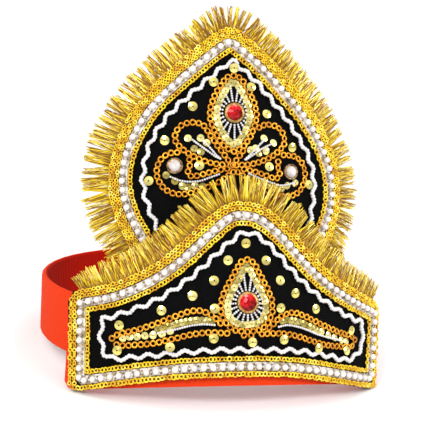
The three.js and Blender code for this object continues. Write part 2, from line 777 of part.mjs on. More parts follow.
// Pieces turned on an axis and set on the velvet: stones in their settings, and single sequins.
function setOn(panel, geometry, s, z, lift) {
  const foot = onPanel(panel, s, z, lift);
  const out = onPanel(panel, s, z, lift + 1).sub(foot);
  const turn = new THREE.Quaternion().setFromUnitVectors(new THREE.Vector3(0, 1, 0), out.normalize());
  return mapGeometry(geometry, (p) => p.applyQuaternion(turn).add(foot));
}
function cabochon(radius, rim, high) {
  const profile = [
    { r: 0, y: 0 },
    { r: rim, y: 0 },
    { r: rim, y: 1.3 },
    { r: radius, y: 1.7 },
    { r: radius * 0.92, y: 1.7 + high * 0.4 },
    { r: radius * 0.7, y: 1.7 + high * 0.74 },
    { r: radius * 0.38, y: 1.7 + high * 0.94 },
    { r: 0, y: 1.7 + high },
  ];
  return new THREE.LatheGeometry(profile.map((p) => new THREE.Vector2(p.r, p.y)), 12);
}
const GLOSS = { metalness: 0, roughness: 0.15 };
const { red, white } = COLOUR;
const STONES = [
  { name: 'front_stone', panel: FRONT, s: -0.3, z: -32.5, radius: 4.9, rim: 6, high: 3, colour: red },
  { name: 'rear_stone', panel: REAR, s: -0.7, z: 73.4, radius: 4.6, rim: 5.7, high: 3, colour: red },
  { name: 'rear_pearl_right', panel: REAR, s: 33.4, z: 41.4, radius: 3.2, rim: 4.6, high: 2.4, colour: white },
  { name: 'rear_pearl_left', panel: REAR, s: -34.1, z: 43.3, radius: 3.2, rim: 4.6, high: 2.4, colour: white },
];
STONES.forEach(({ name, panel, s, z, radius, rim, high, colour }) => {
  addPiece(name, setOn(panel, cabochon(radius, rim, high), s, z, GAP), colour, GLOSS);
});

const ON_CHAIN = RINGS.thick + 2 * GAP;
const ON_WAVE = 2 * WAVE.radius + 2 * GAP;
const FRONT_SEQUINS = [
  { s: -1, z: 0, lift: GAP },
  { s: 1.5, z: -54.2, lift: ON_WAVE },
  { s: -11.2, z: -9.4, lift: GAP },
  { s: 10.7, z: -9.3, lift: GAP },
  { s: -19, z: -20.5, lift: GAP },
  { s: 19.3, z: -20.2, lift: GAP },
  { s: -30.8, z: -28.8, lift: GAP },
  { s: 28.9, z: -27.4, lift: GAP },
  { s: -47.7, z: -36.7, lift: GAP },
  { s: 43, z: -36.1, lift: GAP },
  { s: -70.8, z: -44.7, lift: ON_CHAIN },
  { s: 69.8, z: -48.4, lift: ON_CHAIN },
  { s: -18.9, z: -35.8, lift: ON_CHAIN },
  { s: 18.7, z: -35.6, lift: ON_CHAIN },
  { s: -71.9, z: -58.4, lift: ON_CHAIN },
  { s: 65.3, z: -59.7, lift: ON_CHAIN },
  { s: -42.9, z: -56.6, lift: ON_WAVE },
  { s: 42.5, z: -58.1, lift: ON_WAVE },
  { s: -19.5, z: -52, lift: ON_CHAIN },
  { s: 20.6, z: -53, lift: ON_CHAIN },
];
const REAR_SEQUINS = [
  { s: -1.4, z: 98.2, lift: ON_WAVE },
  { s: -12.8, z: 90.1, lift: ON_WAVE },
  { s: 8.8, z: 88.3, lift: ON_CHAIN },
  { s: -24.1, z: 76.7, lift: GAP },
  { s: 18.8, z: 73.8, lift: GAP },
  { s: -39.7, z: 57.6, lift: GAP },
  { s: 34.1, z: 55.2, lift: ON_CHAIN },
  { s: -48.1, z: 34.9, lift: ON_WAVE },
  { s: 45.6, z: 34.7, lift: ON_CHAIN },
  { s: -20.6, z: 43.4, lift: ON_CHAIN },
  { s: 19.3, z: 43.7, lift: ON_CHAIN },
];
function addSequins(prefix, panel, table) {
  table.forEach(({ s, z, lift }, count) => {
    const disc = new THREE.CylinderGeometry(SEQUIN.radius, SEQUIN.radius, SEQUIN.thick, 8);
    disc.translate(0, SEQUIN.thick / 2, 0);
    const name = `${prefix}_${String(count).padStart(2, '0')}`;
    addPiece(name, setOn(panel, disc, s, z, lift), COLOUR.sequin, SPANGLE);
  });
}
addSequins('front_sequin', FRONT, FRONT_SEQUINS);
addSequins('rear_sequin', REAR, REAR_SEQUINS);

// Tinsel fringes: pointed locks in one piece with the tape that runs along the panel's edge.
const FRINGE = { tape: 2.2, low: -1.9, high: -0.5, uneven: 0.12, turn: 2.4 };
function fringe(panel, edge, pitch, reach) {
  const count = Math.round(lineLength(edge, false) / pitch);
  const line = evenly(edge, 2 * count, false);
  const lock = (part) => {
    const i = Math.round(part * 2 * count);
    if (i % 2 === 0) {
      return FRINGE.tape;
    }
    const shorter = FRINGE.uneven * (0.5 + 0.5 * Math.sin(FRINGE.turn * i));
    return FRINGE.tape + reach(line[i]) * (1 - shorter);
  };
  return sweep(panel, line, flatSection(0, 1, FRINGE.low, FRINGE.high), false, lock);
}
const frontFringeEdge = offset(frontTopLine, LACE.front + GAP, false);
const FRONT_LOCK = { pitch: 4.9, end: 7, shoulder: 11, middle: 15.4, shoulderAt: 86, endAt: 100 };
const frontReach = (p) => {
  const across = Math.abs(p.s);
  if (across > FRONT_LOCK.shoulderAt) {
    const past = (across - FRONT_LOCK.shoulderAt) / (FRONT_LOCK.endAt - FRONT_LOCK.shoulderAt);
    return lerp(FRONT_LOCK.shoulder, FRONT_LOCK.end, clamp(past, 0, 1));
  }
  return lerp(FRONT_LOCK.middle, FRONT_LOCK.shoulder, across / FRONT_LOCK.shoulderAt);
};
const TINSEL = { metalness: 0.7, roughness: 0.4 };
const frontFringe = fringe(FRONT, frontFringeEdge, FRONT_LOCK.pitch, frontReach);
addPiece('front_fringe', frontFringe, COLOUR.fringe, TINSEL);
const REAR_FRINGE_FOOT = -6;
const rearFringeEdge = offset(rearLine, LACE.rear + GAP, false).filter((p) => p.z > REAR_FRINGE_FOOT);
const REAR_LOCK = { pitch: 5.2, point: 13.4, side: 18.6, rightSide: 20.6, sideAt: 40, pointAt: 100 };
const rearReach = (p) => {
  const side = p.s > 0 ? REAR_LOCK.rightSide : REAR_LOCK.side;
  return lerp(side, REAR_LOCK.point, smoothstep(p.z, REAR_LOCK.sideAt, REAR_LOCK.pointAt));
};
const rearFringe = fringe(REAR, rearFringeEdge, REAR_LOCK.pitch, rearReach);
addPiece('rear_fringe', rearFringe, COLOUR.fringe, TINSEL);

// Origin under the middle of the crown, on the floor.
const box = new THREE.Box3().setFromObject(crown);
const middle = box.getCenter(new THREE.Vector3());
crown.children.forEach((mesh) => mesh.position.set(-middle.x, -middle.y, -box.min.z));

export default crown;
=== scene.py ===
import math

import bpy
import numpy as np
from mathutils import Matrix, Vector


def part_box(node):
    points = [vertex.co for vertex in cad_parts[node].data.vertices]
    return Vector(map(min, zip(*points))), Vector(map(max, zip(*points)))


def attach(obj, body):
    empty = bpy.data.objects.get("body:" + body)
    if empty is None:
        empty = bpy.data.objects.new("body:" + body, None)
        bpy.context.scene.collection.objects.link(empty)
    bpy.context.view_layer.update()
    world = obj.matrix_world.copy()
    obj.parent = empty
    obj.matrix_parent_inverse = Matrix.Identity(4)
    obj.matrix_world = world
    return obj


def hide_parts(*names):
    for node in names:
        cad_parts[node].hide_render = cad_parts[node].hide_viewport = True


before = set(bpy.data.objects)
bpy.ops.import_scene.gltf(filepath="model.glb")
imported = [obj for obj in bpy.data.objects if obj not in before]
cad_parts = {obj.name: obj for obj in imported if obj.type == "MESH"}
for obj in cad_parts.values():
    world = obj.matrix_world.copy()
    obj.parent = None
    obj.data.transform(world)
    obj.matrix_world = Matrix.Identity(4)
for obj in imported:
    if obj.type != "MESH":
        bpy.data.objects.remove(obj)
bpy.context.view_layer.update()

# The studio: a white floor under broad soft light, seen through a long lens from the left and a little above.
# The camera is hung from the front panel's top sequin, whose pixel in the photograph is known.
TOP_SEQUIN_PIXEL = (246.1, 243.3)
IMAGE_PIXELS = 430
METRES_PER_PIXEL = 0.00055
CAMERA_AZIMUTH = math.radians(-17.0)
CAMERA_ELEVATION = math.radians(14.5)
CAMERA_ROLL = math.radians(5.4)
CAMERA_DISTANCE = 0.76
SENSOR_MM = 36.0
FLOOR_REACH = 9.0
FLOOR_COLOUR = (0.95, 0.945, 0.945, 1.0)
SKY_LOW = (0.30, 0.30, 0.305, 1.0)
SKY_HIGH = (1.0, 0.99, 0.98, 1.0)
SKY_STRENGTH = 1.45
FLOOR_ROUGHNESS = 0.85
FAR_CLIP = 50.0
LIGHT_SIZE = 0.4
LIGHT_AIM = Vector((0.0, -0.04, 0.09))
KEY_LIGHT = {"place": (-0.75, -1.05, 1.0), "watts": 9.0}
RIGHT_LIGHT = {"place": (1.1, -0.75, 0.75), "watts": 5.5}


def middle_of(node):
    low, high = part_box(node)
    return (Vector(low) + Vector(high)) / 2


def make_camera():
    level = math.cos(CAMERA_ELEVATION)
    side = math.sin(CAMERA_AZIMUTH)
    front = math.cos(CAMERA_AZIMUTH)
    back = Vector((side * level, -front * level, math.sin(CAMERA_ELEVATION)))
    right = Vector((front, side, 0.0))
    up = back.cross(right)
    turn = Matrix.Rotation(CAMERA_ROLL, 3, back)
    right = turn @ right
    up = turn @ up
    across = (TOP_SEQUIN_PIXEL[0] - IMAGE_PIXELS / 2) * METRES_PER_PIXEL
    above = (IMAGE_PIXELS / 2 - TOP_SEQUIN_PIXEL[1]) * METRES_PER_PIXEL
    place = middle_of("front_sequin_00") - across * right - above * up + CAMERA_DISTANCE * back
    data = bpy.data.cameras.new("camera")
    data.sensor_width = SENSOR_MM
    data.lens = SENSOR_MM * CAMERA_DISTANCE / (METRES_PER_PIXEL * IMAGE_PIXELS)
    data.clip_end = FAR_CLIP
    camera = bpy.data.objects.new("camera", data)
    turned = Matrix((right, up, back)).transposed().to_4x4()
    camera.matrix_world = Matrix.Translation(place) @ turned
    bpy.context.scene.collection.objects.link(camera)
    bpy.context.scene.camera = camera


def soft_light(name, place, watts):
    data = bpy.data.lights.new(name, "AREA")
    data.shape = "SQUARE"
    data.size = LIGHT_SIZE
    data.energy = watts
    light = bpy.data.objects.new(name, data)
    aim = LIGHT_AIM - Vector(place)
    turn = aim.to_track_quat("-Z", "Y").to_matrix().to_4x4()
    light.matrix_world = Matrix.Translation(place) @ turn
    bpy.context.scene.collection.objects.link(light)


def plain_object(name, mesh, finish):
    mesh.materials.clear()
    mesh.materials.append(finish)
    piece = bpy.data.objects.new(name, mesh)
    bpy.context.scene.collection.objects.link(piece)
    return piece


def shader_of(finish):
    return finish.node_tree.nodes["Principled BSDF"]


def new_finish(name, colour, roughness, metallic=0.0):
    finish = bpy.data.materials.new(name)
    finish.use_nodes = True
    shader = shader_of(finish)
    shader.inputs["Base Color"].default_value = (*colour[:3], 1.0)
    shader.inputs["Roughness"].default_value = roughness
    shader.inputs["Metallic"].default_value = metallic
    return finish


make_camera()
bpy.context.scene.view_settings.view_transform = "Standard"
soft_light("key_light", **KEY_LIGHT)
soft_light("right_light", **RIGHT_LIGHT)
world = bpy.data.worlds.new("studio")
world.use_nodes = True
sky = world.node_tree.nodes["Background"]
sky.inputs["Strength"].default_value = SKY_STRENGTH
sky_place = world.node_tree.nodes.new("ShaderNodeTexCoord")
sky_parts = world.node_tree.nodes.new("ShaderNodeSeparateXYZ")
sky_ramp = world.node_tree.nodes.new("ShaderNodeValToRGB")
sky_ramp.color_ramp.elements[0].color = SKY_LOW
sky_ramp.color_ramp.elements[1].color = SKY_HIGH
world.node_tree.links.new(sky_place.outputs["Generated"], sky_parts.inputs["Vector"])
world.node_tree.links.new(sky_parts.outputs["Z"], sky_ramp.inputs["Fac"])
world.node_tree.links.new(sky_ramp.outputs["Color"], sky.inputs["Color"])
bpy.context.scene.world = world
floor_mesh = bpy.data.meshes.new("floor")
floor_square = ((-1, -1, 0), (1, -1, 0), (1, 1, 0), (-1, 1, 0))
floor_corners = [FLOOR_REACH * Vector(corner) for corner in floor_square]
floor_mesh.from_pydata(floor_corners, [], [(0, 1, 2, 3)])
plain_object("floor", floor_mesh, new_finish("floor_white", FLOOR_COLOUR, FLOOR_ROUGHNESS))

# The head band and the front lining: red-orange felt over card. The band is a closed loop, a little ribbed
# inside, with painted shade on its inner faces, and the lining is glued behind the front panel so that it
# shows below it.
FELT_COLOUR = (0.85, 0.056, 0.010)
FELT_DARK = (0.66, 0.036, 0.010)
FELT_PAINTED_SHADE = (0.42, 0.006, 0.001)
FELT_FIBRES_PER_METRE = 2600.0
FELT_FIBRE_DETAIL = 4.0
FELT_NAP = 0.0001
FIBRES_TO_RIBS = 1.2
RIB_PITCH = 0.0034
BAND_RADIUS = 0.094
FACING_IN = 0.5
SHARP_EDGE = math.radians(25)


def link(tree, out_socket, in_socket):
    tree.links.new(out_socket, in_socket)


def bump_from(tree, height, distance, strength=1.0):
    bump = tree.nodes.new("ShaderNodeBump")
    bump.inputs["Distance"].default_value = distance
    bump.inputs["Strength"].default_value = strength
    link(tree, height, bump.inputs["Height"])
    link(tree, bump.outputs["Normal"], tree.nodes["Principled BSDF"].inputs["Normal"])


def noise_at(tree, scale, detail=3.0):
    coords = tree.nodes.new("ShaderNodeTexCoord")
    noise = tree.nodes.new("ShaderNodeTexNoise")
    noise.inputs["Scale"].default_value = scale
    noise.inputs["Detail"].default_value = detail
    link(tree, coords.outputs["Object"], noise.inputs["Vector"])
    return noise.outputs["Fac"]


def two_tones(tree, factor, first, second, low=0.35, high=0.65):
    ramp = tree.nodes.new("ShaderNodeValToRGB")
    ramp.color_ramp.elements[0].position = low
    ramp.color_ramp.elements[0].color = (*first, 1.0)
    ramp.color_ramp.elements[1].position = high
    ramp.color_ramp.elements[1].color = (*second, 1.0)
    link(tree, factor, ramp.inputs["Fac"])
    link(tree, ramp.outputs["Color"], tree.nodes["Principled BSDF"].inputs["Base Color"])
    return ramp.outputs["Color"]


def felt_finish():
    finish = new_finish("felt", FELT_COLOUR, roughness=0.95)
    tree = finish.node_tree
    shader = shader_of(finish)
    shader.inputs["Sheen Weight"].default_value = 0.06
    shader.inputs["Sheen Tint"].default_value = (1.0, 0.45, 0.3, 1.0)
    shader.inputs["Specular IOR Level"].default_value = 0.05
    fibres = noise_at(tree, FELT_FIBRES_PER_METRE, FELT_FIBRE_DETAIL)
    lit = two_tones(tree, fibres, FELT_DARK, FELT_COLOUR)
    # Painted shade: faces marked inside take a darker felt colour.
    inside = tree.nodes.new("ShaderNodeAttribute")
    inside.attribute_name = "inside"
    shaded = tree.nodes.new("ShaderNodeMixRGB")
    shaded.inputs["Color2"].default_value = (*FELT_PAINTED_SHADE, 1.0)
    link(tree, inside.outputs["Fac"], shaded.inputs["Fac"])
    link(tree, lit, shaded.inputs["Color1"])
    link(tree, shaded.outputs["Color"], shader.inputs["Base Color"])
    ribs = tree.nodes.new("ShaderNodeAttribute")
    ribs.attribute_name = "rib"
    wave = tree.nodes.new("ShaderNodeMath")
    wave.operation = "SINE"
    link(tree, ribs.outputs["Fac"], wave.inputs[0])
    ribbed = tree.nodes.new("ShaderNodeMath")
    ribbed.operation = "MULTIPLY"
    link(tree, wave.outputs["Value"], ribbed.inputs[0])
    link(tree, inside.outputs["Fac"], ribbed.inputs[1])
    both = tree.nodes.new("ShaderNodeMath")
    both.operation = "MULTIPLY_ADD"
    both.inputs[1].default_value = FIBRES_TO_RIBS
    link(tree, fibres, both.inputs[0])
    link(tree, ribbed.outputs["Value"], both.inputs[2])
    bump_from(tree, both.outputs["Value"], FELT_NAP)
    return finish


def plain_copy(node, name):
    """The node's mesh with shared corners and no stored normals."""
    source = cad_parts[node].data
    places = np.round([tuple(vertex.co) for vertex in source.vertices], 6)
    shared, which = np.unique(places, axis=0, return_inverse=True)
    which = np.ravel(which)
    faces = [tuple(int(which[i]) for i in polygon.vertices) for polygon in source.polygons]
    mesh = bpy.data.meshes.new(name)
    faces = [face for face in faces if len(set(face)) > 2]
    mesh.from_pydata([tuple(place) for place in shared], [], faces)
    mesh.shade_smooth()
    mesh.set_sharp_from_angle(angle=SHARP_EDGE)
    return mesh


def felt_piece(node, name, finish, ribbed):
    mesh = plain_copy(node, name)
    piece = plain_object(name, mesh, finish)
    rib = mesh.attributes.new("rib", "FLOAT", "POINT")
    inside = mesh.attributes.new("inside", "FLOAT", "FACE")
    if ribbed:
        middle = middle_of(node)
        turns = BAND_RADIUS * 2 * math.pi / RIB_PITCH
        for vertex in mesh.vertices:
            rib.data[vertex.index].value = turns * math.atan2(vertex.co.x, vertex.co.y - middle.y)
        for face in mesh.polygons:
            # Faces that look in toward the band's middle are marked for painted shade and for the ribs.
            toward = face.center.x * face.normal.x + (face.center.y - middle.y) * face.normal.y
            inside.data[face.index].value = 1.0 if toward < -FACING_IN * BAND_RADIUS else 0.0
    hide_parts(node)
    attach(piece, "root")


felt = felt_finish()
felt_piece("head_band", "felt_head_band", felt, True)
felt_piece("front_lining", "felt_front_lining", felt, False)

# The two panels: black velvet over card, bent round the head and leaning back together.
# Every trim is sewn to them by hand, so a place is given as s along the arc, z up the velvet and n out of it.
VELVET_BLACK = (0.003, 0.003, 0.0032)
VELVET_DARK = (0.0012, 0.0012, 0.0014)
VELVET_LIT = (0.005, 0.005, 0.0055)
VELVET_PILE_PER_METRE = 1900.0
VELVET_NAP = 0.0003
MM = 0.001
MM_PER_METRE = 1000.0
LEAN = math.radians(19.5)
FRONT = {"radius": 132.0, "back": 0.0, "shift": 0.0}
REAR = {"radius": 123.4, "back": 8.6, "shift": -4.0}
TOP_SEQUIN = {"s": -1.0, "z": 0.0, "n": 0.55}


def bent(panel, s, z, n):
    angle = (s + panel["shift"]) / panel["radius"]
    reach = panel["radius"] + n
    y = panel["back"] + panel["radius"] - reach * np.cos(angle)
    x = reach * np.sin(angle)
    deep = y * math.cos(LEAN) + z * math.sin(LEAN)
    high = z * math.cos(LEAN) - y * math.sin(LEAN)
    return MM * np.stack([x, deep, high], axis=-1)


panel_zero = np.array(middle_of("front_sequin_00")) - bent(FRONT, **TOP_SEQUIN)


def on_panel(panel, s, z, n):
    s, z, n = np.broadcast_arrays(np.asarray(s, float), z, n)
    return panel_zero + bent(panel, s, z, n)


def panel_axes(panel, s):
    angle = (np.asarray(s, float) + panel["shift"]) / panel["radius"]
    turn, face = np.sin(angle), np.cos(angle)
    along = np.stack([face, turn * math.cos(LEAN), -turn * math.sin(LEAN)], axis=-1)
    up = np.broadcast_to([0.0, math.sin(LEAN), math.cos(LEAN)], along.shape)
    out = np.stack([turn, -face * math.cos(LEAN), face * math.sin(LEAN)], axis=-1)
    return along, up, out


velvet = new_finish("black_velvet", VELVET_BLACK, roughness=0.9)
velvet_shader = shader_of(velvet)
velvet_shader.inputs["Sheen Weight"].default_value = 0.02
velvet_shader.inputs["Sheen Roughness"].default_value = 0.4
velvet_shader.inputs["Specular IOR Level"].default_value = 0.04
pile = noise_at(velvet.node_tree, VELVET_PILE_PER_METRE)
two_tones(velvet.node_tree, pile, VELVET_DARK, VELVET_LIT)
bump_from(velvet.node_tree, pile, VELVET_NAP)
for panel_node in ("front_panel", "rear_panel"):
    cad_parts[panel_node].material_slots[0].material = velvet

# The line of pearls on each panel, which the other trims run beside, and the beads themselves: white pearl
# beads, with a small white link between each two and a brown knot of thread on either side of the link.
FRONT_TOP = [(-94, -32.3), (-85.4, -30.9), (-75.6, -29.2), (-66.1, -26.3), (-56.9, -22.4), (-48.2, -17.6),
             (-40, -11.9), (-32.5, -5.5), (-25.2, 1.4), (-19.3, 6.9), (-14.7, 10.8), (-10.6, 13.8),
             (-5.6, 15.5), (-0.5, 15.4), (4.2, 14.6), (9.5, 12.2), (15.8, 7.5), (23.3, 0.9), (30.3, -6.2),
             (37.8, -13), (46, -19), (54.8, -24.2), (66, -29.2), (77.5, -33.3), (88.2, -36.3), (95.5, -38)]
FRONT_FOOT = [(90, -76.6), (78.1, -75.4), (66.2, -73.8), (54.4, -72.2), (42.5, -70.4), (30.6, -69),
              (16.6, -67.9), (0.6, -67.5), (-17.4, -67.8), (-37.3, -68.6), (-55.3, -70.3), (-71.1, -72.2),
              (-85, -74), (-94.6, -75.2)]
REAR_LINE = [(-34.5, -66), (-37, -43), (-41.2, -25), (-46.6, -9), (-50.8, 0.1), (-54.5, 7.1), (-58.3, 14.2),
             (-61.2, 21.5), (-63, 29.1), (-63.5, 36.8), (-62.6, 44.6), (-60.6, 52.3), (-57.4, 59.6),
             (-53.4, 66.8), (-48.9, 73.5), (-42.4, 81), (-35.1, 87.9), (-27.5, 94.5), (-20, 101.2),
             (-12.3, 107.6), (-7.3, 111.4), (-3.8, 113.2), (-0.6, 112.6), (2.5, 110.2), (6.2, 107.1),
             (12.4, 102.2), (19.8, 95.6), (27, 88.7), (34.3, 81.9), (41.3, 75), (47.7, 67.8), (52.4, 61.7),
             (56.5, 55.3), (60.1, 48.4), (62.6, 41.1), (63.6, 33.4), (63.3, 25.5), (61, 17.9), (57.6, 10.6),
             (53.8, 3.6), (47.5, -9), (41.5, -25), (37, -43), (34.5, -66)]
PEARL_RADIUS = 1.75
PEARL_PITCH = 5.1
PEARL_OUT = 2.05
PEARL_TONES = (0.2, 1.0)
PEARL_SHADE = (0.66, 0.61, 0.60)
PEARL_WHITE = (0.88, 0.86, 0.85)
LINK_RADIUS = 0.42
LINK_OUT = 1.5
LINK_TONES = (0.4, 1.0)
KNOT_RADIUS = 0.55
KNOT_ASIDE = 1.25
KNOT_OUT = 0.9
KNOT_TONES = (0.0, 1.0)
KNOT_DARK = (0.12, 0.06, 0.015)
KNOT_AMBER = (0.55, 0.32, 0.06)
BALL_SEGMENTS = 12
BALL_RINGS = 8
LINE_STEP = 1.0
CORNER_SHARE = 0.97


def smooth_line(points, count=200):
    """A centripetal Catmull-Rom line through the points."""
    given = np.array(points, float)
    ends = np.vstack([2 * given[0] - given[1], given, 2 * given[-1] - given[-2]])
    knots = np.concatenate([[0], np.cumsum(np.sqrt(np.linalg.norm(np.diff(ends, axis=0), axis=1)))])
    out = []
    for t in np.linspace(knots[1], knots[-2], count):
        i = int(np.clip(np.searchsorted(knots, t, side="right") - 1, 1, len(given) - 1))
        k, p = knots[i - 1:i + 3], ends[i - 1:i + 3]
        a = [((k[j + 1] - t) * p[j] + (t - k[j]) * p[j + 1]) / (k[j + 1] - k[j]) for j in range(3)]
        b = [((k[j + 2] - t) * a[j] + (t - k[j]) * a[j + 1]) / (k[j + 2] - k[j]) for j in range(2)]
        out.append(((k[2] - t) * b[0] + (t - k[1]) * b[1]) / (k[2] - k[1]))
    return np.array(out)


def both_halves(half):
    left = half[::-1] * [-1, 1]
    return np.vstack([left[:-1] if abs(half[0][0]) < 1e-6 else left, half])


def evenly(line, pitch, closed=False, start=0.0):
    """Points along the line at about that pitch, fitted to its length."""
    path = np.vstack([line, line[:1]]) if closed else np.asarray(line)
    lengths = np.concatenate([[0], np.cumsum(np.linalg.norm(np.diff(path, axis=0), axis=1))])
    count = max(int(round(lengths[-1] / pitch)), 2)
    steps = (np.arange(count) + start) / count if closed else np.linspace(0, 1, count + 1)
    wanted = steps * lengths[-1]
    return np.stack([np.interp(wanted, lengths, path[:, i]) for i in range(2)], axis=-1)


def directions(line, closed=False):
    if closed:
        step = np.roll(line, -1, axis=0) - np.roll(line, 1, axis=0)
    else:
        step = np.gradient(line, axis=0)
    return step / np.maximum(np.linalg.norm(step, axis=1, keepdims=True), 1e-9)


def left_of(line, closed=False):
    ahead = directions(line, closed)
    return np.stack([-ahead[:, 1], ahead[:, 0]], axis=-1)


def beside(line, distance, closed=False):
    """The line moved to its left by a distance, without the points that a corner throws too near it."""
    moved = line + distance * left_of(line, closed)
    gaps = np.linalg.norm(moved[:, None] - line[None], axis=2).min(axis=1)
    return moved[gaps > CORNER_SHARE * abs(distance)]


front_top = smooth_line(FRONT_TOP, count=400)
front_foot = smooth_line(FRONT_FOOT, count=200)
front_loop = evenly(np.vstack([front_top, front_foot]), LINE_STEP, True)
rear_line = smooth_line(REAR_LINE, count=500)


def bead_tree(name, sizes, shape, smooth=True):
    """A node tree that sets one shape on every point, turned and scaled by the points' attributes."""
    tree = bpy.data.node_groups.new(name, "GeometryNodeTree")
    tree.interface.new_socket("Points", in_out="INPUT", socket_type="NodeSocketGeometry")
    for label in sizes:
        tree.interface.new_socket(label, in_out="INPUT", socket_type="NodeSocketFloat")
    tree.interface.new_socket("Finish", in_out="INPUT", socket_type="NodeSocketMaterial")
    tree.interface.new_socket("Strung", in_out="OUTPUT", socket_type="NodeSocketGeometry")
    given = tree.nodes.new("NodeGroupInput").outputs
    turn = tree.nodes.new("GeometryNodeInputNamedAttribute")
    turn.data_type = "QUATERNION"
    turn.inputs["Name"].default_value = "turn"
    swell = tree.nodes.new("GeometryNodeInputNamedAttribute")
    swell.data_type = "FLOAT"
    swell.inputs["Name"].default_value = "swell"
    place = tree.nodes.new("GeometryNodeInstanceOnPoints")
    link(tree, given["Points"], place.inputs["Points"])
    link(tree, shape(tree, given), place.inputs["Instance"])
    link(tree, turn.outputs["Attribute"], place.inputs["Rotation"])
    link(tree, swell.outputs["Attribute"], place.inputs["Scale"])
    real = tree.nodes.new("GeometryNodeRealizeInstances")
    link(tree, place.outputs["Instances"], real.inputs["Geometry"])
    shade = tree.nodes.new("GeometryNodeSetShadeSmooth")
    shade.inputs["Shade Smooth"].default_value = smooth
    link(tree, real.outputs["Geometry"], shade.inputs["Geometry"])
    paint = tree.nodes.new("GeometryNodeSetMaterial")
    link(tree, shade.outputs["Geometry"], paint.inputs["Geometry"])
    link(tree, given["Finish"], paint.inputs["Material"])
    link(tree, paint.outputs["Geometry"], tree.nodes.new("NodeGroupOutput").inputs["Strung"])
    return tree


def from_tree(name, mesh, tree, values):
    """A plain mesh object made by a node tree from a mesh of points or lines."""
    maker = bpy.data.objects.new(name + "_maker", mesh)
    bpy.context.scene.collection.objects.link(maker)
    modifier = maker.modifiers.new("strung", "NODES")
    modifier.node_group = tree
    for item in tree.interface.items_tree:
        if item.name in values:
            modifier[item.identifier] = values[item.name]
    evaluated = maker.evaluated_get(bpy.context.evaluated_depsgraph_get())
    made = bpy.data.meshes.new_from_object(evaluated)
    made.name = name
    modifier_mesh = maker.data
    bpy.data.objects.remove(maker)
    bpy.data.meshes.remove(modifier_mesh)
    piece = bpy.data.objects.new(name, made)
    bpy.context.scene.collection.objects.link(piece)
    return piece


def seats(panel, line, out, closed=False, tilt=0.0, heading=None):
    """Places on a panel, each with X along the line and Z out of the velvet, tipped about X by tilt."""
    line = np.asarray(line, float)
    ahead = directions(line, closed) if heading is None else np.asarray(heading, float)
    along, up, face = panel_axes(panel, line[:, 0])
    x = ahead[:, :1] * along + ahead[:, 1:] * up
    x = x / np.linalg.norm(x, axis=1, keepdims=True)
    y = np.cross(face, x)
    tilt = np.broadcast_to(tilt, len(line))
    places = on_panel(panel, line[:, 0], line[:, 1], out)
    turns = []
    for i in range(len(line)):
        turn = Matrix((x[i], y[i], face[i])).transposed() @ Matrix.Rotation(tilt[i], 3, "X")
        turns.append(turn.to_quaternion())
    return places, turns


def strung(name, tree, sizes, finish, places, turns, swell=1.0, tone=0.5):
    places = np.asarray(places)
    count = len(places)
    mesh = bpy.data.meshes.new(name + "_points")
    mesh.from_pydata([tuple(p) for p in places], [], [])
    turn = mesh.attributes.new("turn", "QUATERNION", "POINT")
    turn.data.foreach_set("value", np.array([tuple(q) for q in turns], np.float32).ravel())
    for label, value in (("swell", swell), ("tone", tone)):
        attribute = mesh.attributes.new(label, "FLOAT", "POINT")
        attribute.data.foreach_set("value", np.broadcast_to(np.float32(value), count).copy())
    return from_tree(name, mesh, tree, {**sizes, "Finish": finish})


def ball_shape(tree, given):
    ball = tree.nodes.new("GeometryNodeMeshUVSphere")
    ball.inputs["Segments"].default_value = BALL_SEGMENTS
    ball.inputs["Rings"].default_value = BALL_RINGS
    link(tree, given["Radius"], ball.inputs["Radius"])
    return ball.outputs["Mesh"]


def settle(piece, slot, *nodes):
    if nodes:
        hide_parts(*nodes)
    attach(piece, "root")


def toned_finish(name, dark, light, roughness, metallic=0.0):
    """A finish whose colour runs from dark to light by each bead's own tone."""
    finish = new_finish(name, light, roughness, metallic)
    tone = finish.node_tree.nodes.new("ShaderNodeAttribute")
    tone.attribute_name = "tone"
    two_tones(finish.node_tree, tone.outputs["Fac"], dark, light, 0.0, 1.0)
    return finish


def add_painted_glint(finish, start, pale):
    """Lets the tones above start run on to a third, pale colour, a painted glint."""
    ramp = next(node for node in finish.node_tree.nodes if node.type == "VALTORGB").color_ramp
    ramp.elements[1].position = start
    ramp.elements.new(1.0).color = (*pale, 1.0)


chance = np.random.default_rng(7)
ball_tree = bead_tree("beads_on_thread", ["Radius"], ball_shape)
pearl_white = toned_finish("pearl_white", PEARL_SHADE, PEARL_WHITE, roughness=0.25)
shader_of(pearl_white).inputs["Coat Weight"].default_value = 0.2
shader_of(pearl_white).inputs["Coat Roughness"].default_value = 0.12
amber = toned_finish("amber_thread", KNOT_DARK, KNOT_AMBER, roughness=0.4)


def balls(name, radius, finish, seated, tone=0.5, swell=1.0):
    """Round beads of one radius in millimetres, on the given places and turns."""
    places, turns = seated
    return strung(name, ball_tree, {"Radius": MM * radius}, finish, places, turns, swell, tone)


def pearl_string(name, panel, line, closed, node):
    spots = evenly(line, PEARL_PITCH, closed)
    tone = chance.uniform(*PEARL_TONES, len(spots))
    pearls = balls(name, PEARL_RADIUS, pearl_white, seats(panel, spots, PEARL_OUT, closed), tone)
    settle(pearls, "pearl", node)
    between = evenly(line, PEARL_PITCH, closed, 0.5) if closed else (spots[1:] + spots[:-1]) / 2
    tone = chance.uniform(*LINK_TONES, len(between))
    links = balls(name + "_links", LINK_RADIUS, pearl_white, seats(panel, between, LINK_OUT), tone)
    settle(links, "pearl")
    aside = KNOT_ASIDE * left_of(between, closed)
    knots = np.vstack([between + aside, between - aside])
    tone = chance.uniform(*KNOT_TONES, len(knots))
    thread = balls(name + "_knots", KNOT_RADIUS, amber, seats(panel, knots, KNOT_OUT), tone)
    settle(thread, "gold_trim")


pearl_string("front_pearl_string", FRONT, front_loop, True, "front_pearls")
pearl_string("rear_pearl_string", REAR, rear_line, False, "rear_pearls")
